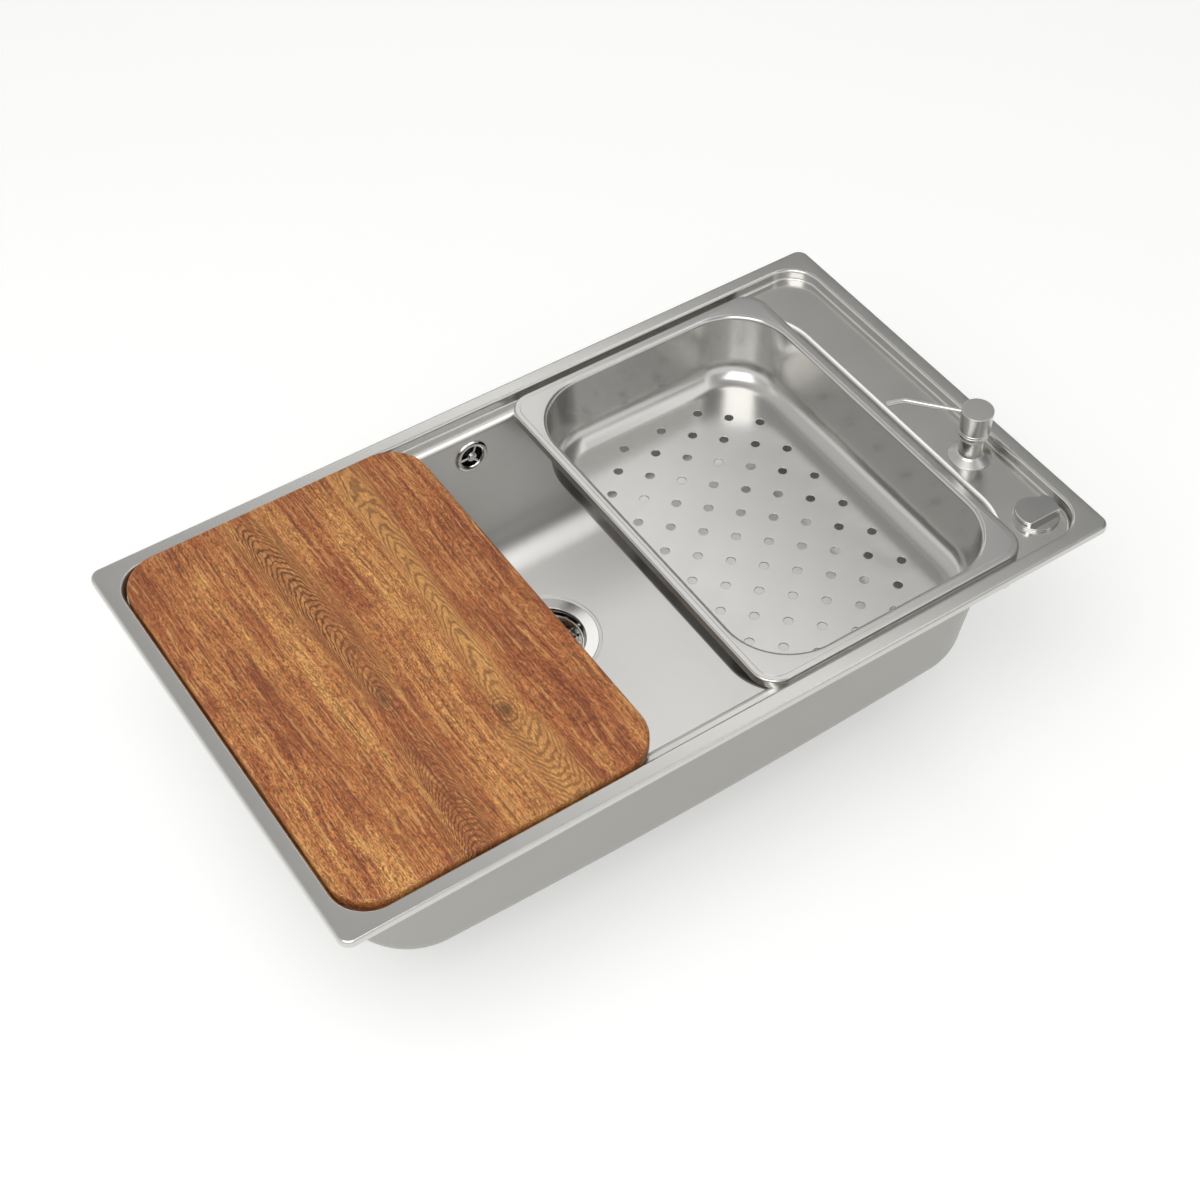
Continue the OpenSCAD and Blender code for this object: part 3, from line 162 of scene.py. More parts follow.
# One wide soft box stands high at the camera's side. A long one hangs at the right for the bowl
# alone: the photo shows the bowl as light as if neither board nor colander stood over it.


def soft_box(name, at, aim, wide, long, watts):
    """A flat rectangular lamp that no camera sees."""
    lamp = bpy.data.lights.new(name, "AREA")
    lamp.shape = "RECTANGLE"
    lamp.size, lamp.size_y = wide, long
    lamp.energy = watts
    made = bpy.data.objects.new(name, lamp)
    at, aim = Vector(at), Vector(aim)
    made.matrix_world = Matrix.LocRotScale(at, (aim - at).to_track_quat("-Z", "Y"), Vector((1, 1, 1)))
    made.visible_camera = False
    scene.collection.objects.link(made)
    return made


def linked(name, state, *objects):
    """A group of objects for a lamp's light or shadows, all included or all left out."""
    group = bpy.data.collections.new(name)
    for item in objects:
        group.objects.link(item)
    for item in group.collection_objects:
        item.light_linking.link_state = state
    return group


soft_box("front_soft_box", (-0.85, -0.75, 2.0), camera_aim, 1.7, 1.7, 26)
bowl_box = soft_box("bowl_soft_box", (0.55, 0.0, 1.20), (0.0, 0.0, -0.15), 2.6, 1.0, 12)

# ---------------------------------------------------------------- Sink top
# The rim with its folded edge, the recess wall, the ledge and the deck at the
# right, pressed in one piece from 1 mm stainless sheet. Sizes are in millimetres.

MM = 0.001

sheet = 1.0
rim_hx, rim_hy, rim_r, rim_h = 430.0, 250.0, 12.0, 7.0
lip_r = 3.0
recess_hx, recess_hy, recess_r = 415.5, 235.5, 38.0
step_r, foot_r = 3.0, 2.5
ledge_z = -5.3
knob_at = np.array([384.6, -192.0])
dispenser_at = np.array([384.6, -91.5])
knob_hole_r, dispenser_hole_r = 14.3, 12.2


def round_ring(hx, hy, r, z, corner=20, side=48):
    """A level rectangle with round corners as one closed row of points, anticlockwise.
    Each corner is a quarter circle in equal steps, and each straight side is cut evenly."""
    turn = np.arange(4)[:, None] * np.pi / 2
    angle = np.linspace(0, np.pi / 2, corner + 1)[None, :] + turn
    sx = np.array([1, -1, -1, 1])[:, None]
    sy = np.array([1, 1, -1, -1])[:, None]
    arc = np.stack([sx * (hx - r) + r * np.cos(angle), sy * (hy - r) + r * np.sin(angle)], -1)
    t = (np.arange(1, side) / side)[None, :, None]
    line = arc[:, -1:] * (1 - t) + np.roll(arc[:, :1], -1, 0) * t
    flat = np.concatenate([arc, line], 1).reshape(-1, 2)
    return np.column_stack([flat, np.full(len(flat), z)])


def circle(x, y, r, z, steps=64):
    """A level circle of points."""
    a = np.arange(steps) * 2 * np.pi / steps
    return np.column_stack([x + r * np.cos(a), y + r * np.sin(a), np.full(steps, z)])


def arc_steps(first, last, steps):
    """Angles from first to last in degrees, given in radians."""
    return np.radians(np.linspace(first, last, steps + 1))


def skin(rows, closed=False, leave_out=None):
    """Quads between neighbouring rows of a grid of points, whose columns run round.
    A closed grid joins its last row to its first. leave_out names quads that stay open."""
    rows = np.asarray(rows, float)
    m, n = rows.shape[:2]
    number = np.arange(m * n).reshape(m, n)
    after = np.roll(number, -1, 0) if closed else number[1:]
    this = number if closed else number[:-1]
    quads = np.stack([this, np.roll(this, -1, 1), np.roll(after, -1, 1), after], -1)
    if leave_out is not None:
        quads = quads[~leave_out]
    return rows.reshape(-1, 3), quads.reshape(-1, 4).tolist()


def fill(loops, plan=None):
    """Triangles over a flat area whose outline is the first loop and whose holes are the others.
    plan gives the loops' flat places where the loops themselves lie on a curved wall."""
    plan = loops if plan is None else plan
    faces = tessellate_polygon([[Vector((*p[:2], 0)) for p in loop.tolist()] for loop in plan])
    return np.concatenate(loops), [list(f) for f in faces]


def piece(name, parts, finish, body, sharp=40):
    """One object from several grids, in place of the solid of its name. Points that meet are
    merged and the faces turned outwards."""
    points, faces, first = [], [], 0
    for p, f in parts:
        points.append(p)
        faces.extend([[i + first for i in face] for face in f])
        first += len(p)
    mesh = bpy.data.meshes.new(name)
    mesh.from_pydata((np.concatenate(points) * MM).tolist(), [], faces)
    return finished(name, mesh, finish, body, sharp)


def finished(name, mesh, finish, body, sharp):
    """Merges a mesh's doubles, turns it outwards and puts it on its body. Its shading follows
    the larger faces, so that flat parts stay flat beside small radii."""
    material, slot = finish
    work = bmesh.new()
    work.from_mesh(mesh)
    bmesh.ops.remove_doubles(work, verts=work.verts, dist=2e-6)
    bmesh.ops.recalc_face_normals(work, faces=work.faces)
    work.to_mesh(mesh)
    work.free()
    mesh.shade_smooth()
    mesh.set_sharp_from_angle(angle=np.radians(sharp))
    mesh.materials.clear()
    mesh.materials.append(material)
    made = bpy.data.objects.new(name + "_made", mesh)
    scene.collection.objects.link(made)
    even = made.modifiers.new("even_shading", "WEIGHTED_NORMAL")
    even.keep_sharp = True
    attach(made, body)
    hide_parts(name)
    return made


def metal(
    name, slot, colour, dull, rough, grain_mm, grain_height,
    lines=(1, 1, 1), specks=0.0, pure=1.0, outside=None,
):
    """Bare steel and its slot: its colour wanders slightly, its polish varies from place to
    place, and fine lines or a fine grain are pressed into its surface. Lengths are in
    millimetres. outside is (colour, middle, top): the colour of the faces that look away from
    a middle point and lie below the height top."""
    made = bpy.data.materials.new(name)
    tree = nodes_of(made)
    coordinates = add(tree, "TexCoord").outputs
    place = coordinates["Object"]
    # Cloudy change of tone and polish over some 60 mm, as on handled sheet.
    cloud = add(tree, "TexNoise", {0: place, "Scale": 17.0, "Detail": 3.0})
    tone = add(tree, "Mix", {"Factor": cloud, "A": linear(dull), "B": linear(colour)}, data_type="RGBA")
    polish = add(tree, "MapRange", cloud, 0.3, 0.7, rough - 0.008, rough + 0.008)
    # The fine grain itself.
    drawn = add(tree, "Mapping", {0: place, "Scale": lines})
    fine = {0: drawn, "Scale": 1000 / grain_mm, "Detail": 2.0, "Roughness": 0.6}
    grain = add(tree, "TexNoise", fine)
    wander = add(tree, "Math", grain, 0.05 + specks, polish, operation="MULTIPLY_ADD")
    bump = add(tree, "Bump", {"Strength": 1.0, "Distance": grain_height * MM, "Height": grain})
    # Painted shade: faces that look away from the middle point and lie below the height top take the darker
    # outside colour, whatever light reaches them.
    if outside:
        shade, middle, top = outside
        to_here = add(tree, "VectorMath", place, middle, operation="SUBTRACT")
        away = add(tree, "VectorMath", to_here, coordinates["Normal"], operation="DOT_PRODUCT")
        outer_faces_painted_darker = add(tree, "Math", away, 0.0, operation="GREATER_THAN")
        height = add(tree, "SeparateXYZ", place).outputs["Z"]
        under = add(tree, "Math", height, top, operation="LESS_THAN")
        share = add(tree, "Math", outer_faces_painted_darker, under, operation="MULTIPLY")
        tone = add(tree, "Mix", {"Factor": share, "A": tone, "B": linear(shade)}, data_type="RGBA")
    surface = {"Base Color": tone, "Metallic": pure, "Roughness": wander, "Normal": bump}
    add(tree, "OutputMaterial", add(tree, "BsdfPrincipled", surface))
    return made, slot


# Stainless 304 sheet with a pressed satin finish: soft broad reflections, faint grain.
satin = metal("satin_stainless_sheet", "satin_stainless", "#cbcac6", "#c7c6c2", 0.20, 0.9, 0.0006)


def recess_ring(out, z):
    """The recess's outline, out millimetres wider all round, at height z."""
    return round_ring(recess_hx + out, recess_hy + out, recess_r + out, z)


def rim_ring(inset, z):
    """The rim's outline, inset millimetres in from its outer edge, at height z."""
    return round_ring(rim_hx - inset, rim_hy - inset, rim_r - inset, z)


bowl_x = -21.5
bowl_hx, bowl_hy = 374.5, 216.0
bowl_edge_r, bowl_corner_r = 6.0, 75.0
# The walls lean in by the taper and the long ones bow out. The floor falls to the drain from
# outside a level circle.
wall_taper, wall_bow, floor_fall, level_r, drain_y = 13.0, 4.7, 0.036, 60.0, 76.0


def top_side(under):
    """The rim, step and recess wall as rows from the outer edge inwards: the radii shrink on
    the outside of a bend and grow on its inside when the row lies under the sheet."""
    a = arc_steps(0, 90, 6)
    lip = lip_r - under
    step = step_r - under
    foot = foot_r + under
    middle = rim_h - lip_r
    rows = [rim_ring(under, 0.0)]
    rows += [rim_ring(lip_r - lip * np.cos(t), middle + lip * np.sin(t)) for t in a]
    rows += [recess_ring(-step * np.sin(t), middle + step * np.cos(t)) for t in a]
    low = step_r + foot_r
    rows += [recess_ring(foot * np.cos(t) - low, ledge_z + foot_r - foot * np.sin(t)) for t in a]
    return np.array(rows)


def bowl_point_rows(share, out, z):
    """A row of the bowl's skin: a rectangle with round corners that shrinks with share, whose
    long sides bow out, and whose height rises with the distance from the drain."""
    inwards = out - wall_taper * share
    ring = round_ring(bowl_hx + inwards, bowl_hy + inwards, bowl_corner_r + out, z)
    ring[:, 2] += share * floor_fall * (np.hypot(ring[:, 0], ring[:, 1] - drain_y) - level_r)
    ring[:, 1] += share * wall_bow * (1 - (ring[:, 0] / bowl_hx) ** 2) * np.sign(ring[:, 1])
    ring[:, 0] += bowl_x
    return ring


outside = top_side(0.0)
inside = top_side(sheet)
mouth = bowl_point_rows(0, bowl_edge_r, ledge_z)
deck_holes = [circle(*knob_at, knob_hole_r, ledge_z), circle(*dispenser_at, dispenser_hole_r, ledge_z)]
drop = np.array([0, 0, -sheet])
deck_top = [outside[-1], mouth, *deck_holes]
deck_under = [loop + drop for loop in deck_top]
edges = [skin([loop, loop + drop]) for loop in deck_top[1:]]
rim_parts = [skin(outside), skin(inside), skin([outside[0], inside[0]])]
piece("sink_top", [*rim_parts, fill(deck_top), fill(deck_under), *edges], satin, "sink")


# ---------------------------------------------------------------- Bowl
# One deep-drawn bowl of 1 mm stainless sheet, welded to the ledge's inner edge and
# ground flush. Its floor falls to the drain, where a flat seat is pressed for the strainer.

wall_top_z, wall_low_z, bowl_floor_z = -11.3, -146.6, -189.6
floor_r = 43.0
drain_at = np.array([bowl_x, drain_y])
seat_ring_r, seat_r, seat_drop, drain_hole_r = 60.0, 58.0, 1.6, 45.0
wall_parts = 16
overflow_z, wall_hole_r = -34.6, 16.5
# The back wall's draft, and its height at the middle, less the floor's rise there.
draft, back_wall_h = np.radians(3.587), 132.4

# The drawn sheet inside the bowl: the same steel, matter where the press has stretched it.
drawn = metal(
    "drawn_matt_stainless_sheet", "satin_stainless", "#d6d5d2", "#d1d0cd", 0.36, 1.1, 0.0010,
    # Its outward faces are darker: partly a duller outer finish, partly painted shade.
    pure=0.8, outside=("#a5a4a0", (-0.0215, 0.0, -0.09), 1.0),
)


def bowl_rows(under):
    """All rows of one side of the bowl's sheet, from its mouth to the drain's hole: the upper
    edge's arc, the wall, the lower arc, the falling floor, and the pressed seat."""
    edge = bowl_edge_r - under
    low = floor_r + under
    rows = [
        bowl_point_rows(0, bowl_edge_r - edge * np.sin(t), wall_top_z + edge * np.cos(t))
        for t in arc_steps(0, 90, 6)
    ]
    rows += [
        bowl_point_rows(s, under, wall_top_z + (wall_low_z - wall_top_z) * s)
        for s in np.arange(1, wall_parts) / wall_parts
    ]
    rows += [
        bowl_point_rows(1, low * np.cos(t) - floor_r, wall_low_z - low * np.sin(t))
        for t in arc_steps(0, 90, 14)
    ]
    rim = rows[-1]
    way = rim[:, :2] - drain_at
    far = np.linalg.norm(way, axis=1, keepdims=True)
    way = way / far
    level = bowl_floor_z - under
    seat_ring = np.column_stack([drain_at + seat_ring_r * way, np.full(len(way), level)])
    rows += [rim * (1 - t) + seat_ring * t for t in (0.25, 0.5, 0.75, 1.0)]
    # The seat's edge turns down through two small arcs.
    turn = seat_drop / 2
    a = arc_steps(0, 90, 4)
    radii = np.concatenate([seat_r + turn * (1 - np.sin(a)), seat_r - turn * (1 - np.cos(a[::-1]))])
    drops = np.concatenate([turn * (1 - np.cos(a)), seat_drop - turn * (1 - np.sin(a[::-1]))])
    for r, z in zip([*radii, drain_hole_r], [*drops, seat_drop]):
        rows.append(np.column_stack([drain_at + r * way, np.full(len(way), level - z)]))
    return np.array(rows)


def wall_point(x, s, under):
    """A point of the back wall at x from the bowl's middle and share s of the wall's height."""
    y = bowl_hy - wall_taper * s + under
    z = wall_top_z + (wall_low_z - wall_top_z) * s
    z = z + s * floor_fall * (np.hypot(x, y - drain_y) - level_r)
    return np.column_stack([x + bowl_x, y + s * wall_bow * (1 - (x / bowl_hx) ** 2), z])


corner_parts, side_parts = 20, 48
columns = 4 * (corner_parts + side_parts)
edge_rows = 6
hole_rows = 5
middle_column = corner_parts + side_parts // 2
inner_rows = bowl_rows(0.0)
outer_rows = bowl_rows(sheet)
row_of_quad = np.arange(len(inner_rows) - 1)[:, None]
column_of_quad = np.arange(columns)[None, :]
window = (
    (row_of_quad >= edge_rows)
    & (row_of_quad < edge_rows + hole_rows)
    & (column_of_quad >= middle_column - 2)
    & (column_of_quad < middle_column + 2)
)
# The outline of the window in the grid, then the hole's circle on the wall.
rows_down = edge_rows + np.arange(hole_rows + 1)
cols_along = middle_column + np.arange(-2, 3)
outline = (
    [(rows_down[0], c) for c in cols_along]
    + [(r, cols_along[-1]) for r in rows_down[1:]]
    + [(rows_down[-1], c) for c in cols_along[::-1][1:]]
    + [(r, cols_along[0]) for r in rows_down[::-1][1:-1]]
)
outline = tuple(np.array(outline).T)
a = np.arange(64) * 2 * np.pi / 64
hole_x = wall_hole_r * np.cos(a)
hole_share = (wall_top_z - overflow_z - wall_hole_r * np.cos(draft) * np.sin(a)) / back_wall_h
wall_faces = []
for grid, under in ((inner_rows, 0.0), (outer_rows, sheet)):
    loops = [grid[outline], wall_point(hole_x, hole_share, under)]
    wall_faces.append(fill(loops, [np.stack([p[:, 0], p[:, 2]], -1) for p in loops]))
hole_wall = skin([wall_point(hole_x, hole_share, 0.0), wall_point(hole_x, hole_share, sheet)])
bowl_made = piece(
    "sink_bowl",
    [
        skin(inner_rows, leave_out=window),
        skin(outer_rows, leave_out=window),
        skin([inner_rows[0], outer_rows[0]]),
        skin([inner_rows[-1], outer_rows[-1]]),
        *wall_faces,
        hole_wall,
    ],
    drawn,
    "sink",
)


# ---------------------------------------------------------------- Sealing strip
# Black EPDM foam strip, stuck under the rim inside its folded edge, so that the rim
# draws down tight on the worktop.


def soft_plastic(name, slot, colour, second, rough, grain_mm, grain_height, clear=0.0, sheen=0.0):
    """Moulded plastic or rubber and its slot: an even colour with a faint drift, a moulded grain
    in its surface, and a polish that changes with the grain. Lengths are in millimetres."""
    made = bpy.data.materials.new(name)
    tree = nodes_of(made)
    place = add(tree, "TexCoord").outputs["Object"]
    drift = add(tree, "TexNoise", {0: place, "Scale": 40.0, "Detail": 2.0})
    grain = add(tree, "TexNoise", {0: place, "Scale": 1000 / grain_mm, "Detail": 3.0})
    tones = {"Factor": drift, "A": linear(colour), "B": linear(second)}
    surface = {
        "Base Color": add(tree, "Mix", tones, data_type="RGBA"),
        "Roughness": add(tree, "MapRange", grain, 0.3, 0.7, rough - 0.05, rough + 0.05),
        "Normal": add(tree, "Bump", {"Strength": 1.0, "Distance": grain_height * MM, "Height": grain}),
        "IOR": 1.49,
        "Transmission Weight": clear,
        "Sheen Weight": sheen,
    }
    add(tree, "OutputMaterial", add(tree, "BsdfPrincipled", surface))
    return made, slot


# EPDM rubber: deep black, matt, with a fine open grain.
rubber = soft_plastic("black_epdm_rubber", "black_rubber", "#161617", "#202021", 0.72, 0.7, 0.03, sheen=0.1)

seal_out, seal_width, seal_top = 3.5, 7.0, 6.0


def unit(v):
    """Vectors of length one."""
    return v / np.linalg.norm(v, axis=-1, keepdims=True)


def soften(corners, radii, steps=5):
    """A closed profile whose corners are rounded: each corner becomes an arc that touches both
    its sides, with its centre on the line that halves the angle between them."""
    p = np.asarray(corners, float)
    r = np.broadcast_to(np.asarray(radii, float), len(p))
    back = unit(np.roll(p, 1, 0) - p)
    on = unit(np.roll(p, -1, 0) - p)
    half = np.arccos(np.clip((back * on).sum(1), -0.999999, 0.999999)) / 2
    reach = (r / np.tan(half))[:, None]
    middle = p + unit(back + on + 1e-12) * (r / np.sin(half))[:, None]
    from_ = p + back * reach - middle
    to = p + on * reach - middle
    turn = (np.pi - 2 * half)[:, None, None]
    t = np.linspace(0, 1, steps + 1)[None, :, None]
    arc = (np.sin((1 - t) * turn) * from_[:, None] + np.sin(t * turn) * to[:, None]) / np.sin(turn)
    return (middle[:, None] + arc).reshape(-1, 2)


seal_in = seal_out + seal_width
strip = soften([(seal_out, 0.0), (seal_out, seal_top), (seal_in, seal_top), (seal_in, 0.0)], 1.2)
piece("rim_seal", [skin([rim_ring(inset, z) for inset, z in strip], closed=True)], rubber, "sink")


# ---------------------------------------------------------------- Fixing clips
# Bent rails of zinc-plated steel spot-welded under the ledge, each with a jaw and a
# slotted screw that pull up against the worktop from below.


def merged(node, finish, body, edge=0.0, sharp=30):
    """A copy of a solid from the frame whose loose triangles are joined. An edge above nought
    rounds its sharp corners by that many millimetres."""
    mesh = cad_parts[node].data.copy()
    work = bmesh.new()
    work.from_mesh(mesh)
    bmesh.ops.remove_doubles(work, verts=work.verts, dist=2e-6)
    bmesh.ops.dissolve_limit(work, angle_limit=np.radians(0.6), verts=work.verts, edges=work.edges)
    work.to_mesh(mesh)
    work.free()
    made = finished(node, mesh, finish, body, sharp)
    if edge:
        bevel = made.modifiers.new("worn_edge", "BEVEL")
        bevel.width = edge * MM
        bevel.segments = 2
        bevel.limit_method = "ANGLE"
        bevel.angle_limit = np.radians(sharp)
        made.modifiers.move(1, 0)
    return made


# Zinc plate, passivated: cool pale grey with a fine crystal grain, duller than steel.
zinc = metal(
    "passivated_zinc_plate", "zinc_plated_steel", "#b9bcbf", "#a7abae", 0.34, 1.6, 0.004, specks=0.12
)

for clip_node in ("clip_rails", "clip_jaws", "clip_screws"):
    merged(clip_node, zinc, "sink", 0.2)


# ---------------------------------------------------------------- Overflow
# A pressed and polished rosette with three spokes on the back wall, held by one
# slotted screw to the plastic elbow behind, with a rubber gasket in between.

# Stainless steel polished after turning: clear reflections, hardly any grain.
polished = metal("polished_stainless", "polished_steel", "#d3d2cf", "#cbcac7", 0.13, 0.6, 0.0004)

overflow_turn = Matrix.Rotation(np.radians(-90) - draft, 4, "X")
overflow_y = bowl_hy - (wall_top_z - overflow_z) * np.tan(draft) - 0.06
overflow_at = np.array([bowl_x, overflow_y, overflow_z])


def on_wall(points):
    """Moves points from the overflow's own frame, whose z points out through the wall."""
    turn = np.array(overflow_turn.to_3x3())
    return np.asarray(points) @ turn.T + overflow_at


def turned(profile, centre=(0, 0), lift=0.0, steps=96):
    """A closed profile of (radius, height) carried once round an upright axis."""
    a = np.arange(steps) * 2 * np.pi / steps
    p = np.asarray(profile, float)
    ring = np.stack([np.cos(a), np.sin(a)], -1)
    flat = p[:, None, :1] * ring[None] + np.asarray(centre)
    high = np.broadcast_to(p[:, 1][:, None, None] + lift, (*flat.shape[:2], 1))
    return np.concatenate([flat, high], -1)


def capped(rows):
    """A skin over rings, closed by a flat end at both ends."""
    points, faces = skin(rows)
    n, last = len(rows[0]), len(points)
    return points, faces + [list(range(n)), list(range(last - n, last))]


def bar(length_from, length_to, half_width, low, high, edge, turn, centre=(0, 0)):
    """A straight bar with rounded edges that lies flat and points turn degrees round from x."""
    side = half_width
    rim = soften([(-side, low), (side, low), (side, high), (-side, high)], edge, 4)
    x = np.broadcast_to(np.array([length_from, length_to])[:, None], (2, len(rim)))
    y, z = (np.broadcast_to(rim[:, axis], (2, len(rim))) for axis in (0, 1))
    c, s = np.cos(np.radians(turn)), np.sin(np.radians(turn))
    return capped(np.stack([x * c - y * s + centre[0], x * s + y * c + centre[1], z], -1))


hole_r, hub_r, ring_half = 12.3, 5.5, 3.35
a = arc_steps(0, 180, 18)
dome = np.column_stack([hole_r + ring_half + ring_half * np.cos(a), -2.5 * np.sin(a)])
ring_profile = np.vstack([dome, [(hole_r, 3.0), (hole_r + 1.2, 3.0), (hole_r + 1.2, 0.0)]])
hub = soften([(2.05, -1.5), (hub_r, -1.5), (hub_r, 1.0), (2.05, 1.0)], [0.1, 0.5, 0.3, 0.1])
rosette = [skin(on_wall(turned(profile)), closed=True) for profile in (ring_profile, hub)]
for spoke in range(3):
    points, faces = bar(4.6, 12.8, 1.3, -1.2, 0.6, 0.5, -65 - 120 * spoke)
    rosette.append((on_wall(points), faces))
rosette_made = piece("overflow_rosette", rosette, polished, "sink", sharp=50)

merged("overflow_screw", polished, "sink", 0.25)
gasket = soften([(17.5, 1.12), (23.0, 1.12), (23.0, 3.12), (17.5, 3.12)], 0.4)
piece("overflow_gasket", [skin(on_wall(turned(gasket)), closed=True)], rubber, "sink")

# Glass-filled polypropylene: charcoal, semi-matt, with the fine texture of its mould.
dark_plastic = soft_plastic(
    "dark_moulded_polypropylene", "dark_grey_plastic", "#2c2d30", "#36373a", 0.42, 0.9, 0.02
)
# Unfilled white polypropylene: slightly warm, satin.
white_plastic = soft_plastic(
    "white_moulded_polypropylene", "white_plastic", "#e6e5df", "#dcdbd4", 0.36, 1.1, 0.012
)

merged("overflow_elbow", dark_plastic, "sink", 0.5)


# ---------------------------------------------------------------- Overflow hose
# A ribbed polypropylene hose from the elbow down and round to the waste, with plain
# ends under two ribbed plastic nuts.

hose_bore_r, hose_valley_r, hose_rib_r, hose_pitch = 8.0, 8.9, 9.8, 5.0
# The hose starts below the elbow's spigot and ends at the waste body's inlet.
hose_y = overflow_y + 12.6
hose_top_z = overflow_z - 19 - 6
hose_bend_r = 43.0
hose_end_y = drain_y + 48 + 3 + 9
hose_inlet_z = -192.2 - 16
hose_down = hose_top_z - (hose_inlet_z + hose_bend_r)
hose_bend_l = hose_bend_r * np.pi / 2
hose_length = hose_down + hose_bend_l + (hose_y - hose_bend_r - hose_end_y)


def along(line, radii, sides, side):
    """Rings square to a line of points: side, less its share along the line, is one arm of each
    ring, and the other arm is square to both."""
    ahead = unit(np.gradient(line, axis=0))
    u = unit(np.asarray(side) - (ahead @ np.asarray(side))[:, None] * ahead)
    v = np.cross(ahead, u)
    a = np.arange(sides) * 2 * np.pi / sides
    r = np.broadcast_to(np.asarray(radii, float), len(line))[:, None, None]
    ring = np.cos(a)[None, :, None] * u[:, None] + np.sin(a)[None, :, None] * v[:, None]
    return line[:, None] + r * ring


def hose_line(s):
    """The hose's middle at distance s: straight down, a quarter bend, then level."""
    bend = np.clip((s - hose_down) / hose_bend_l, 0, 1) * np.pi / 2
    past = np.maximum(0, s - hose_down - hose_bend_l)
    y = hose_y - hose_bend_r * (1 - np.cos(bend)) - past
    z = hose_top_z - np.minimum(s, hose_down) - hose_bend_r * np.sin(bend)
    return np.column_stack([np.full(len(s), bowl_x), y, z])


plain = 2 * hose_rib_r
ribs = int((hose_length - 2 * plain) // hose_pitch)
first_rib = (hose_length - ribs * hose_pitch) / 2
s = np.concatenate([[0], first_rib + np.arange(ribs * 6 + 1) * hose_pitch / 6, [hose_length]])
wave = (1 - np.cos((s - first_rib) / hose_pitch * 2 * np.pi)) / 2
wave[[0, -1]] = 0
rib_h = hose_rib_r - hose_valley_r
outer_wall = along(hose_line(s), hose_valley_r + rib_h * wave**0.7, 28, (1, 0, 0))
bore = along(hose_line(s), hose_bore_r + rib_h * 0.6 * wave, 28, (1, 0, 0))
hose = skin(np.concatenate([outer_wall, bore[::-1]]), closed=True)
piece("overflow_hose", [hose], dark_plastic, "sink", sharp=70)
for nut in ("hose_nut_top", "hose_nut_bottom"):
    merged(nut, white_plastic, "sink", 0.3)


# ---------------------------------------------------------------- Strainer
# A turned and polished flange with its cup, clamped through the floor by a hollow
# screw, and a basket with drain holes that closes the cup on a rubber ring.

seat_z = bowl_floor_z - seat_drop
flange_top_z = seat_z + 1.2
cup_floor_z = flange_top_z - 24
spider_z = cup_floor_z - 8


def turned_piece(name, profile, finish, body, at, lift=0.0, steps=96, sharp=40):
    """A ring or pot turned round an upright axis from its closed profile."""
    return piece(name, [skin(turned(profile, at, lift, steps), closed=True)], finish, body, sharp)


flange_profile = soften(
    [
        (41.2, flange_top_z), (55.0, flange_top_z), (55.0, seat_z), (42.2, seat_z),
        (42.2, cup_floor_z - 1), (27.0, cup_floor_z - 1), (27.0, spider_z), (26.0, spider_z),
        (26.0, cup_floor_z), (41.2, cup_floor_z),
    ],
    [0.9, 0.6, 0.1, 0.1, 1.2, 0.4, 0.2, 0.2, 0.6, 0.5],
)
spider_hub = soften([(6.05, spider_z), (9.0, spider_z), (9.0, spider_z + 3), (6.05, spider_z + 3)], 0.3)
flange_parts = [
    skin(turned(flange_profile, drain_at, steps=128), closed=True),
    skin(turned(spider_hub, drain_at, steps=48), closed=True),
]
flange_parts += [bar(8.2, 26.4, 1.5, spider_z, spider_z + 3, 0.4, 90 * i, drain_at) for i in range(4)]
flange_made = piece("strainer_flange", flange_parts, polished, "sink", sharp=50)
merged("waste_screw", polished, "sink", 0.3)

gasket = soften([(46.0, -194.7), (58.0, -194.7), (58.0, -192.2), (46.0, -192.2)], 0.5)
turned_piece("waste_gasket", gasket, rubber, "sink", drain_at)
merged("waste_body", dark_plastic, "sink", 0.5)

# The basket: pressed bottom and wall with a turned-out rim, and two rows of punched holes.
basket_z = cup_floor_z + 2.06
basket_r, basket_h = 38.0, 14.0
hole_r = 2.0
low_holes, side_holes = 16, 18


def plate_holes(count, at_r, steps=24):
    """Circles of one size on a circle round the drain."""
    turn = np.arange(count) * 2 * np.pi / count
    middles = drain_at + at_r * np.column_stack([np.cos(turn), np.sin(turn)])
    return [circle(*middle, hole_r, 0.0, steps) for middle in middles]


holes = plate_holes(low_holes, basket_r - 3.6)
inner_edge = circle(*drain_at, basket_r - 1.25, 0.0, 96)
outer_edge = circle(*drain_at, basket_r - 0.4, 0.0, 96)
lift_top = np.array([0, 0, basket_z + 1])
lift_low = np.array([0, 0, basket_z])
basket = [
    fill([p + lift_top for p in [inner_edge, *holes]]),
    fill([p + lift_low for p in [outer_edge, *holes]]),
]
basket += [skin([p + lift_top, p + lift_low]) for p in holes]

# The wall is one cell for each side hole, unrolled: across is the way round, up is the height.
cell = 2 * np.pi * (basket_r - 0.5) / side_holes
wall_low, wall_high = 1.6, basket_h - 0.4
hole_mid = basket_h / 2 + 1
quarters = np.linspace(-0.5, 0.5, 5) * cell
frame_loop = np.column_stack([np.append(quarters, quarters[::-1]), np.repeat([wall_low, wall_high], 5)])
a = np.arange(24) * 2 * np.pi / 24
hole_loop = np.column_stack([hole_r * np.cos(a), hole_mid + hole_r * np.sin(a)])


def rolled(flat, r, number):
    """Wraps an unrolled loop round the basket's wall: the way across becomes an angle."""
    t = flat[:, 0] / (basket_r - 0.5) + (number + 0.5) * 2 * np.pi / side_holes
    round_drain = drain_at + r * np.column_stack([np.cos(t), np.sin(t)])
    return np.column_stack([round_drain, basket_z + flat[:, 1]])


for number in range(side_holes):
    for r in (basket_r - 1, basket_r):
        loops = [rolled(frame_loop, r, number), rolled(hole_loop, r, number)]
        basket.append(fill(loops, [frame_loop, hole_loop]))
    basket.append(skin([rolled(hole_loop, basket_r - 1, number), rolled(hole_loop, basket_r, number)]))


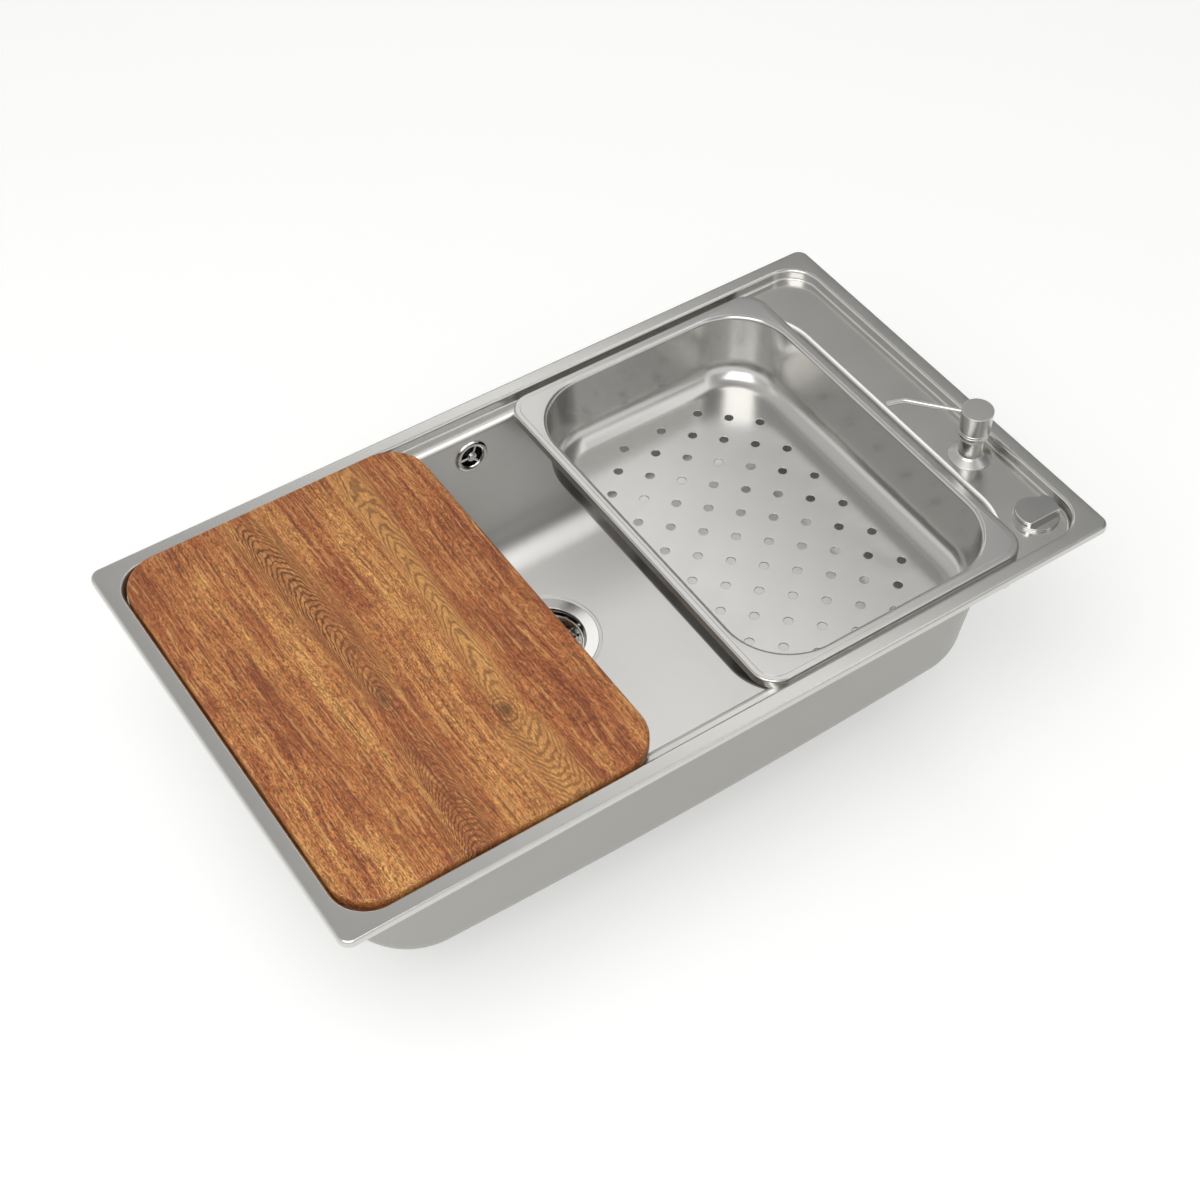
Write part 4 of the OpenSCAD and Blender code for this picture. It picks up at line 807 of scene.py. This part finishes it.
def basket_ring(r, z, steps=side_holes * 4):
    """A level circle of the basket that meets the wall's cells point by point."""
    return circle(*drain_at, r, basket_z + z, steps)


# Foot: from the bottom plate round to the wall, inside and outside.
a = arc_steps(0, 90, 3)
inner_low, outer_low = (
    [
        *[basket_ring(wall_r - turn_r * (1 - np.sin(t)), turn_r * (1 - np.cos(t)) + above) for t in a],
        basket_ring(wall_r, wall_low),
    ]
    for wall_r, turn_r, above in ((basket_r - 1, 0.25, 1.0), (basket_r, 0.4, 0.0))
)
rim_low, rim_high, rim_r = basket_h, basket_h + 1, basket_r + 1.2
rim_profile = soften(
    [(basket_r - 1, rim_high), (rim_r, rim_high), (rim_r, rim_low), (basket_r, rim_low)],
    [0.5, 0.35, 0.3, 0.3],
    4,
)
rim_profile = [(basket_r - 1, wall_high), *rim_profile, (basket_r, wall_high)]
basket += [skin(inner_low), skin(outer_low), skin([basket_ring(r, z) for r, z in rim_profile])]
basket_made = piece("strainer_basket", basket, polished, "basket", sharp=50)

seal_low = basket_z - 2
ring = soften([(27.5, seal_low), (31.5, seal_low), (31.5, basket_z), (27.5, basket_z)], 0.5)
turned_piece("basket_seal", ring, rubber, "basket", drain_at)
merged("lift_pin", polished, "basket", 0.3)
merged("lift_lever", dark_plastic, "lever", 0.2)
merged("lever_pin", polished, "sink", 0.1)


# ---------------------------------------------------------------- Control cable
# The pull cable from the knob to the waste, in its PVC sheath. It hangs in one long
# curve behind the bowl's right end and is held in a boss at each end.

# Plasticised PVC: black, a little glossy, with the faint lines of its extruder.
sheath = soft_plastic("black_extruded_pvc", "black_cable_sheath", "#1b1b1d", "#232325", 0.38, 0.8, 0.012)

cable_points = np.array(
    [
        (374.6, -192, -67.3), (374, -191, -86), (374, -187, -102), (374, -177, -120),
        (373, -162, -140), (371, -142, -160), (367, -120, -180), (358, -94, -200),
        (342, -67, -216), (318, -40, -228), (286, -14, -237), (248, 10, -243),
        (206, 32, -246), (164, 50, -248), (126, 63, -248), (92, 71, -247),
        (62, 75, -245), (25.5, 76, -247.74),
    ]
)


def spline(points, parts):
    """A smooth line through points: on each span a cubic whose slope at a point is half the
    way from the point before it to the point after it."""
    before = points[np.maximum(np.arange(len(points) - 1) - 1, 0)][:, None]
    a, b = points[:-1][:, None], points[1:][:, None]
    after = points[np.minimum(np.arange(len(points) - 1) + 2, len(points) - 1)][:, None]
    t = (np.arange(parts) / parts)[None, :, None]
    run = 0.5 * (
        2 * a
        + (b - before) * t
        + (2 * before - 5 * a + 4 * b - after) * t**2
        + (3 * a - before - 3 * b + after) * t**3
    )
    return np.concatenate([run.reshape(-1, 3), points[-1:]])


cable = capped(along(spline(cable_points, 10), 2.75, 20, (0, 1, 0)))
piece("control_cable", [cable], sheath, "sink", sharp=60)


# ---------------------------------------------------------------- Pop-up knob
# A polished ring clamped in the deck, and in it a turned knob with a flat bar for the
# fingers. Under the deck a washer, a nut, and a housing with the cable's drum.

ring_top, shank_low, stem_low = ledge_z + 1.5, ledge_z - 26, -44.3
bezel = soften(
    [
        (5.06, ring_top), (23.5, ring_top), (23.5, ledge_z), (14.0, ledge_z), (14.0, shank_low),
        (5.06, shank_low),
    ],
    [0.2, 0.9, 0.1, 0.1, 0.5, 0.2],
)
turned_piece("knob_bezel", bezel, polished, "sink", knob_at, steps=128, sharp=50)

knob_r, stem_r, grip_half, edge = 22.8, 5.0, 12.2, 1.0
disc_low, disc_top, grip_top = ledge_z + 1.8, ledge_z + 3.2, ledge_z + 9.6
disc = soften(
    [
        (0.0, disc_top), (knob_r, disc_top), (knob_r, disc_low), (stem_r, disc_low),
        (stem_r, stem_low), (0.0, stem_low),
    ],
    [0.01, 0.5, 0.3, 0.2, 0.5, 0.01],
)


def grip_ring(inset, z):
    """The grip's outline at one height: a circle cut off by two straight sides, with rounded
    corners, and hollowed at its left end by a groove for a fingertip."""
    half = grip_half - inset
    r = knob_r - 0.25 - inset
    # Angle from the middle of each end to its corner, then the straight sides.
    limit = np.arcsin(half / r)
    end = np.linspace(-limit, limit, 41)
    straight = np.linspace(1, -1, 25)[1:-1] * r * np.cos(limit)
    right = np.column_stack([r * np.cos(end), r * np.sin(end)])
    top = np.column_stack([straight, np.full(len(straight), half)])
    loop = np.concatenate([right, top, -right, -top])
    dip = np.sqrt(np.maximum(3.4**2 - (z - disc_top - 1.6) ** 2, 0)) - 2.4
    fade = 1 / (1 + np.exp((np.abs(loop[:, 1]) - 8.6) * 3))
    cut = np.where(loop[:, 0] < 0, np.clip(dip, 0, 1.2) * fade, 0)
    loop[:, 0] += cut
    return np.column_stack([loop + knob_at, np.full(len(loop), z)])


grip = [grip_ring(0.0, z) for z in np.linspace(disc_top - 0.3, grip_top - edge, 12)]
for t in arc_steps(15, 90, 5):
    grip.append(grip_ring(edge * (1 - np.cos(t)), grip_top - edge + edge * np.sin(t)))
knob = [skin(turned(disc, knob_at, steps=128), closed=True), capped(grip)]
piece("popup_knob", knob, polished, "knob", sharp=50)

washer = soften([(14.3, -7.8), (20.5, -7.8), (20.5, -6.3), (14.3, -6.3)], 0.3)
turned_piece("knob_washer", washer, rubber, "sink", knob_at)
merged("knob_nut", dark_plastic, "sink", 0.5)
merged("knob_housing", dark_plastic, "sink", 0.5)
merged("cable_drum", white_plastic, "knob", 0.2)


# ---------------------------------------------------------------- Soap dispenser
# A turned collar clamped in the deck, a clear bottle screwed on from below, and a
# pump whose polished head is pressed and turned, with a thin bent spout.


# Stainless steel turned on a lathe and brushed: soft streaks of light along each piece.
brushed = metal(
    "brushed_stainless", "polished_steel", "#cdccc9", "#c5c4c1", 0.27, 0.5, 0.0012, (0.35, 0.35, 3.0)
)

# Heights of the profiles are above the deck.
on_deck = (dispenser_at, ledge_z)
neck_top = 33.0
collar = soften(
    [
        (9.0, -50.0), (11.8, -50.0), (11.8, 0.0), (22.3, 0.0), (22.3, 1.2), (14.5, 5.2), (12.5, 6.8),
        (12.5, neck_top), (9.0, neck_top),
    ],
    [0.3, 0.5, 0.1, 0.2, 0.9, 1.5, 1.0, 0.4, 0.3],
)
turned_piece("dispenser_collar", collar, brushed, "sink", *on_deck, 128, 50)
washer = soften([(12.2, -2.5), (20.5, -2.5), (20.5, -1), (12.2, -1)], 0.3)
turned_piece("dispenser_washer", washer, rubber, "sink", *on_deck, sharp=50)
merged("dispenser_nut", dark_plastic, "sink", 0.5)

# Blown polyethylene: milky, lets light through, softly glossy.
clear_plastic = soft_plastic(
    "natural_blown_polyethylene", "clear_plastic", "#e8ebec", "#dfe4e6", 0.30, 1.4, 0.01, clear=0.75
)
bottle_top, bottle_low = -36.0, -161.0
shoulder, floor_top = bottle_top - 16, bottle_low + 1.2
bottle = soften(
    [
        (11.85, bottle_top), (14.5, bottle_top), (14.5, shoulder), (24.0, shoulder - 6),
        (28.0, shoulder - 14), (28.0, bottle_low), (0.0, bottle_low), (0.0, floor_top),
        (26.8, floor_top), (26.8, shoulder - 14.5), (23.2, shoulder - 7), (11.85, shoulder - 1.2),
    ],
    [0.2, 0.5, 2.0, 3.0, 6.0, 4.0, 0.01, 0.01, 2.8, 5.0, 2.5, 1.0],
)
turned_piece("soap_bottle", bottle, clear_plastic, "sink", *on_deck, sharp=50)
merged("pump_body", white_plastic, "sink", 0.2)
merged("pump_piston", white_plastic, "piston", 0.2)
merged("dip_tube", clear_plastic, "sink")

# The pump's return spring: hard-drawn stainless wire in eleven turns.
wire_r, coil_r, turns = 0.45, 4.6, 11
spring_low, spring_high = -9.8 + 0.45, 25.0 - 0.65
s = np.linspace(0, 1, turns * 32 + 1)
coil = coil_r * np.column_stack([np.cos(2 * np.pi * turns * s), np.sin(2 * np.pi * turns * s)])
spring_line = np.column_stack(
    [dispenser_at + coil, ledge_z + spring_low + (spring_high - spring_low) * s]
)
wire = capped(along(spring_line, wire_r, 10, (0, 0, 1)))
spring = piece("pump_spring", [wire], polished, "sink", sharp=60)
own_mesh(spring)

# Two fine grooves run round the head above its rounded foot.
head_low, head_top, bore_r, cap_low, cap_high = 28.3, 64.3, 3.56, 47.0, 54.5
head = soften(
    [
        (0.0, head_top), (16.5, head_top),
        (15.95, head_low + 11.6), (15.1, head_low + 11.0), (15.85, head_low + 10.4),
        (15.8, head_low + 8.6), (15.1, head_low + 8.0), (15.7, head_low + 7.4),
        (15.7, head_low + 4.0), (14.1, head_low), (13.0, head_low),
        (13.0, cap_low), (bore_r, cap_low), (bore_r, cap_high), (0.0, cap_high),
    ],
    [0.01, 0.7, 0.25, 0.2, 0.25, 0.25, 0.2, 0.25, 1.2, 0.3, 0.3, 0.3, 0.2, 0.2, 0.01],
)
turned_piece("pump_head", head, brushed, "head", *on_deck, 128, 50)

# The spout runs level, bends down by the fall, and ends in a short straight tip.
spout_r, spout_wall, bend_r, fall = 2.35, 0.85, 12.0, np.radians(28)
spout_reach, spout_z, tip, spout_turn = 90.0, 58.3, 16.0, np.radians(130.5)
straight = spout_reach - bend_r * np.sin(fall) - tip * np.cos(fall)
a = np.linspace(0, fall, 13)
x = np.concatenate([[9.0, 30.0], straight + bend_r * np.sin(a)])
z = np.concatenate([[spout_z, spout_z], spout_z - bend_r * (1 - np.cos(a))])
x = np.append(x, x[-1] + tip * np.cos(fall))
z = np.append(z, z[-1] - tip * np.sin(fall))
c, s = np.cos(spout_turn), np.sin(spout_turn)
spout_line = np.column_stack([dispenser_at[0] + x * c, dispenser_at[1] + x * s, ledge_z + z])
tube, hollow = (along(spout_line, r, 40, (-s, c, 0)) for r in (spout_r, spout_r - spout_wall))
spout = skin(np.concatenate([tube, hollow[::-1]]), closed=True)
piece("pump_spout", [spout], brushed, "head", sharp=50)


# ---------------------------------------------------------------- Colander
# A pan pressed from 0.9 mm stainless sheet, finer in finish than the bowl, with 64
# punched holes in its floor. Its flange turns down and slides on the ledges.

pan_x, pan_hx, pan_hy, pan_r = 186.5, 158.5, 226.8, 26.0
pan_top_z, pan_floor_z = 5.0, -74.7
basin_hx, basin_hy, basin_r = 145.0, 212.6, 66.0
pan_sheet, pan_lip_r, pan_edge_r, pan_floor_r, pan_taper = 0.9, 2.0, 4.0, 25.0, 4.0
drain_r, step = 4.75, 24.0
bead_at, bead_r, bead_h = 6.2, 0.6, 0.5

# Stainless sheet with a fine brushed finish: a little brighter and smoother than the bowl.
fine_satin = metal(
    "fine_satin_stainless_sheet", "fine_satin_stainless", "#c6c5c2", "#c3c2bf", 0.20, 0.8, 0.0006,
    # Its outer wall and underside below the flange are near black: painted shade of the gap under the
    # flange.
    outside=("#2f2e2d", (0.1865, 0.0, 0.02), -0.0060),
)


def pan_ring(out, z):
    """One row of the skirt or flange, out millimetres outside the pan's edge."""
    return round_ring(pan_hx + out, pan_hy + out, pan_r + out, z, 20, 12) + [pan_x, 0, 0]


def basin_ring(out, z):
    """One row of the basin, out millimetres outside its wall's upper end."""
    return round_ring(basin_hx + out, basin_hy + out, basin_r + out, z, 20, 12) + [pan_x, 0, 0]


def pan_rows(under):
    """All rows of one side of the pan's sheet: skirt, outer edge, flange, the basin's upper
    edge, its wall, and the arc down to the floor."""
    lip, edge, low = pan_lip_r - under, pan_edge_r - under, pan_floor_r + under
    lip_z, edge_z, low_z = pan_top_z - bead_h - pan_lip_r, pan_top_z - pan_edge_r, pan_floor_z + pan_floor_r
    rows = [pan_ring(-under, ledge_z)]
    rows += [pan_ring(lip * np.cos(t) - pan_lip_r, lip_z + lip * np.sin(t)) for t in arc_steps(0, 90, 5)]
    # The flange's outer strip lies a little lower than the rest, behind a fine pressed step.
    for t in arc_steps(0, 90, 4):
        rows.append(
            pan_ring(-bead_at - bead_r * (1 - np.cos(t)), pan_top_z - bead_h * (1 - np.sin(t)) - under)
        )
    for t in arc_steps(0, 90, 6):
        rows.append(basin_ring(pan_edge_r - edge * np.sin(t), edge_z + edge * np.cos(t)))
    for t in arc_steps(0, 90, 12):
        rows.append(basin_ring(low * np.cos(t) - pan_taper - pan_floor_r, low_z - low * np.sin(t)))
    return rows


pan_in, pan_out = pan_rows(0.0), pan_rows(pan_sheet)
row = np.arange(-7, 8)[:, None]
column = np.arange(-4, 5)[None, :]
here = ((row + column) % 2 == 1) & ((np.abs(row) < 7) | (np.abs(column) < 3))
hole_rows_at, hole_columns_at = np.nonzero(here)
hole_at = np.column_stack([pan_x + (hole_columns_at - 4) * step, (hole_rows_at - 7) * step])
# Each hole is punched downwards: its upper edge is drawn over by a small radius.
a = arc_steps(0, 90, 3)
punch = [(drain_r + 0.4 * (1 - np.sin(t)), -0.4 * (1 - np.cos(t))) for t in a] + [(drain_r, -pan_sheet)]
pan_parts = [
    skin(pan_in),
    skin(pan_out),
    skin([pan_in[0], pan_out[0]]),
    fill([pan_in[-1]] + [circle(*at, punch[0][0], pan_floor_z, 40) for at in hole_at]),
    fill([pan_out[-1]] + [circle(*at, drain_r, pan_floor_z - pan_sheet, 40) for at in hole_at]),
]
pan_parts += [skin([circle(*at, r, pan_floor_z + z, 40) for r, z in punch]) for at in hole_at]
colander_made = piece("colander", pan_parts, fine_satin, "colander")


# ---------------------------------------------------------------- Cutting board
# Solid hardwood board, oiled, with its grain from front to back. It lies loose on the
# ledge over the left end of the bowl, and its edges are rounded all round.

board_x, board_hx, board_hy, board_r = -249.5, 162.0, 231.5, 42.0
board_t, board_edge_r = 18.5, 3.5


def oiled_wood(name, slot):
    """Hardwood along the y axis and its slot: soft dark bands, fine fibres and pores, runs of
    arched growth lines, and two knots. Lengths are in metres, from the board's middle."""
    made = bpy.data.materials.new(name)
    tree = nodes_of(made)
    times, plus, minus, over = (
        {"operation": kind} for kind in ("MULTIPLY", "MULTIPLY_ADD", "SUBTRACT", "DIVIDE")
    )
    place = add(tree, "TexCoord").outputs["Object"]
    from_middle = add(tree, "VectorMath", place, (-board_x * MM, 0.0, 0.0))
    # The fibres sway by some millimetres over a hand's breadth, and tremble by half a millimetre.
    places = [from_middle]
    for drawn_out, scale, detail, far in ((0.3, 14.0, 1.0, 0.022), (0.45, 150.0, 2.0, 0.0030)):
        drawn = add(tree, "Mapping", {0: from_middle, "Scale": (1, drawn_out, 1)})
        wave = add(tree, "TexNoise", {0: drawn, "Scale": scale, "Detail": detail})
        off = add(tree, "VectorMath", wave.outputs["Color"], (0.5, 0.5, 0.5), **minus)
        off = add(tree, "VectorMath", {0: off, "Scale": far}, operation="SCALE")
        places.append(add(tree, "VectorMath", places[-1], off))
    _, bent, shaken = places
    split = add(tree, "SeparateXYZ", shaken).outputs
    across, ahead = split["X"], split["Y"]

    bands, uneven, streaks, fibres, pores, veins = (
        add(
            tree,
            "TexNoise",
            {
                0: add(tree, "Mapping", {0: place, "Scale": (1, drawn_out, 1)}),
                "Scale": scale,
                "Detail": detail,
                "Roughness": rough,
            },
        )
        for place, drawn_out, scale, detail, rough in (
            (bent, 0.08, 42.0, 2.0, 0.5),
            (bent, 0.35, 70.0, 4.0, 0.65),
            (shaken, 0.06, 260.0, 3.0, 0.6),
            (shaken, 0.14, 1150.0, 2.0, 0.7),
            (shaken, 0.3, 1200.0, 1.0, 0.5),
            (shaken, 0.025, 520.0, 1.0, 0.5),
        )
    )
    both = add(tree, "Math", bands, 0.5, add(tree, "Math", streaks, 0.5, **times), **plus)
    colour = add(tree, "ValToRGB", both)
    marks = colour.color_ramp.elements
    for at, code in ((0.35, "#8a4926"), (0.45, "#a66034"), (0.53, "#ba7841"), (0.63, "#d29855")):
        marks.new(at).color = linear(code)
    marks.remove(marks[0])
    marks.remove(marks[-1])
    shading = add(tree, "MapRange", fibres, 0.37, 0.60, 0.50, 1.36, **smooth)
    tone = {"Factor": 1.0, "A": colour, "B": shading}
    tone = add(tree, "Mix", tone, data_type="RGBA", blend_type="MULTIPLY")
    # What is laid over the tone in turn, as shares and colours: pores, then long thin veins,
    # dark and pale.
    other_veins = add(tree, "Math", 1.0, veins, **minus)
    layers = [
        (add(tree, "MapRange", pores, 0.52, 0.62, 0.0, 0.6, **smooth), "#602e18"),
        (add(tree, "MapRange", veins, 0.58, 0.68, 0.0, 0.65, **smooth), "#64331a"),
        (add(tree, "MapRange", other_veins, 0.58, 0.68, 0.0, 0.5, **smooth), "#dca866"),
    ]
    # Arched growth lines in four runs along the board, each round its own bent middle line and
    # between two places along it. Their tips point to the back, and the last run's to the front.
    in_bands = add(tree, "MapRange", bands, 0.3, 0.5, 0.4, 1.0, **smooth)
    in_fibres = add(tree, "MapRange", fibres, 0.3, 0.6, 0.6, 1.0, **smooth)
    for (at, tilt, curl), (front, back), half, pitch, steep, pale, strong in (
        ((-0.0211, 0.010, -0.25), (-0.045, 0.215), 0.018, 0.0100, 6.0, 0.25, 1.0),
        ((-0.0211, 0.010, -0.25), (-0.30, -0.095), 0.017, 0.0065, 5.0, 0.10, 0.9),
        ((0.0770, 0.055, 0.0), (-0.095, 0.30), 0.012, 0.0190, 2.5, 0.50, 0.65),
        ((0.0680, 0.000, 0.0), (-0.30, -0.135), 0.019, 0.0100, -2.5, 0.35, 0.6),
    ):
        middle = add(tree, "Math", add(tree, "Math", ahead, curl, tilt, **plus), ahead, at, **plus)
        off = add(tree, "Math", add(tree, "Math", across, middle, **minus), half, **over)
        square = add(tree, "Math", off, off, **times)
        arch = add(tree, "Math", square, steep, add(tree, "Math", ahead, pitch, **over), **plus)
        arch = add(tree, "Math", uneven, 3.6, arch, **plus)
        wave = add(tree, "Math", arch, 0.5, operation="PINGPONG")
        line = add(tree, "MapRange", wave, 0.20, 0.42, 0.0, strong, **smooth)
        after = add(tree, "MapRange", ahead, front - 0.015, front + 0.015, **smooth)
        before = add(tree, "MapRange", ahead, back - 0.015, back + 0.015, 1.0, 0.0, **smooth)
        beside = add(tree, "Math", off, operation="ABSOLUTE")
        beside = add(tree, "MapRange", beside, 0.6, 1.6, 1.0, 0.0, **smooth)
        here = add(tree, "Math", add(tree, "Math", after, before, **times), beside, **times)
        here = add(tree, "Math", here, in_bands, **times)
        dark = add(tree, "Math", line, add(tree, "Math", here, in_fibres, **times), **times)
        layers += [(add(tree, "Math", here, pale, **times), "#d39b57"), (dark, "#54290f")]
    # Two knots, drawn out along the board, with rings round them.
    through = add(tree, "MapRange", fibres, 0.35, 0.6, 0.6, 1.0, **smooth)
    for x, y, wide, long in ((-0.0246, -0.0458, 0.0042, 0.0115), (0.0654, -0.1187, 0.0060, 0.0090)):
        dx = add(tree, "Math", add(tree, "Math", across, x, **minus), wide, **over)
        dy = add(tree, "Math", add(tree, "Math", ahead, y, **minus), long, **over)
        far = add(tree, "Math", dx, dx, add(tree, "Math", dy, dy, **times), **plus)
        far = add(tree, "Math", far, operation="SQRT")
        rings = add(tree, "Math", add(tree, "Math", far, 1.6, **times), 0.5, operation="PINGPONG")
        rings = add(tree, "MapRange", rings, 0.2, 0.45, **smooth)
        fade = add(tree, "MapRange", far, 1.2, 3.2, 0.7, 0.0, **smooth)
        heart = add(tree, "MapRange", far, 0.2, 1.6, 0.85, 0.0, **smooth)
        dark = add(tree, "Math", heart, add(tree, "Math", rings, fade, **times), operation="MAXIMUM")
        layers.append((add(tree, "Math", dark, through, **times), "#451f0e"))
    for share, code in layers:
        tone = add(tree, "Mix", {"Factor": share, "A": tone, "B": linear(code)}, data_type="RGBA")

    surface = {
        "Base Color": tone,
        "Roughness": add(tree, "MapRange", fibres, 0.3, 0.7, 0.50, 0.38, **smooth),
        "Normal": add(tree, "Bump", {"Strength": 0.4, "Distance": 0.00015, "Height": fibres}),
        "IOR": 1.47,
    }
    add(tree, "OutputMaterial", add(tree, "BsdfPrincipled", surface))
    return made, slot


# Acacia, planed and oiled: warm and satin, with pores that stay open under the oil.
wood = oiled_wood("oiled_acacia", "oiled_wood")


def board_ring(inset, z):
    """The board's outline, inset millimetres in from its edge."""
    ring = round_ring(board_hx - inset, board_hy - inset, board_r - inset, z, 20, 8)
    return ring + np.array([board_x, 0, ledge_z])


a = arc_steps(0, 90, 8)
turn, rise = board_edge_r * (1 - np.cos(a)), board_edge_r * (1 - np.sin(a))
rows = [board_ring(inset, z) for inset, z in zip(rise, turn)]
rows += [board_ring(inset, board_t - drop) for inset, drop in zip(turn, rise)]
board_made = piece("cutting_board", [capped(rows)], wood, "board")

bowl_box.light_linking.receiver_collection = linked(
    "lit_by_bowl_box", "INCLUDE", bowl_made, rosette_made, flange_made, basket_made
)
bowl_box.light_linking.blocker_collection = linked(
    "passed_by_bowl_box", "EXCLUDE", board_made, colander_made
)
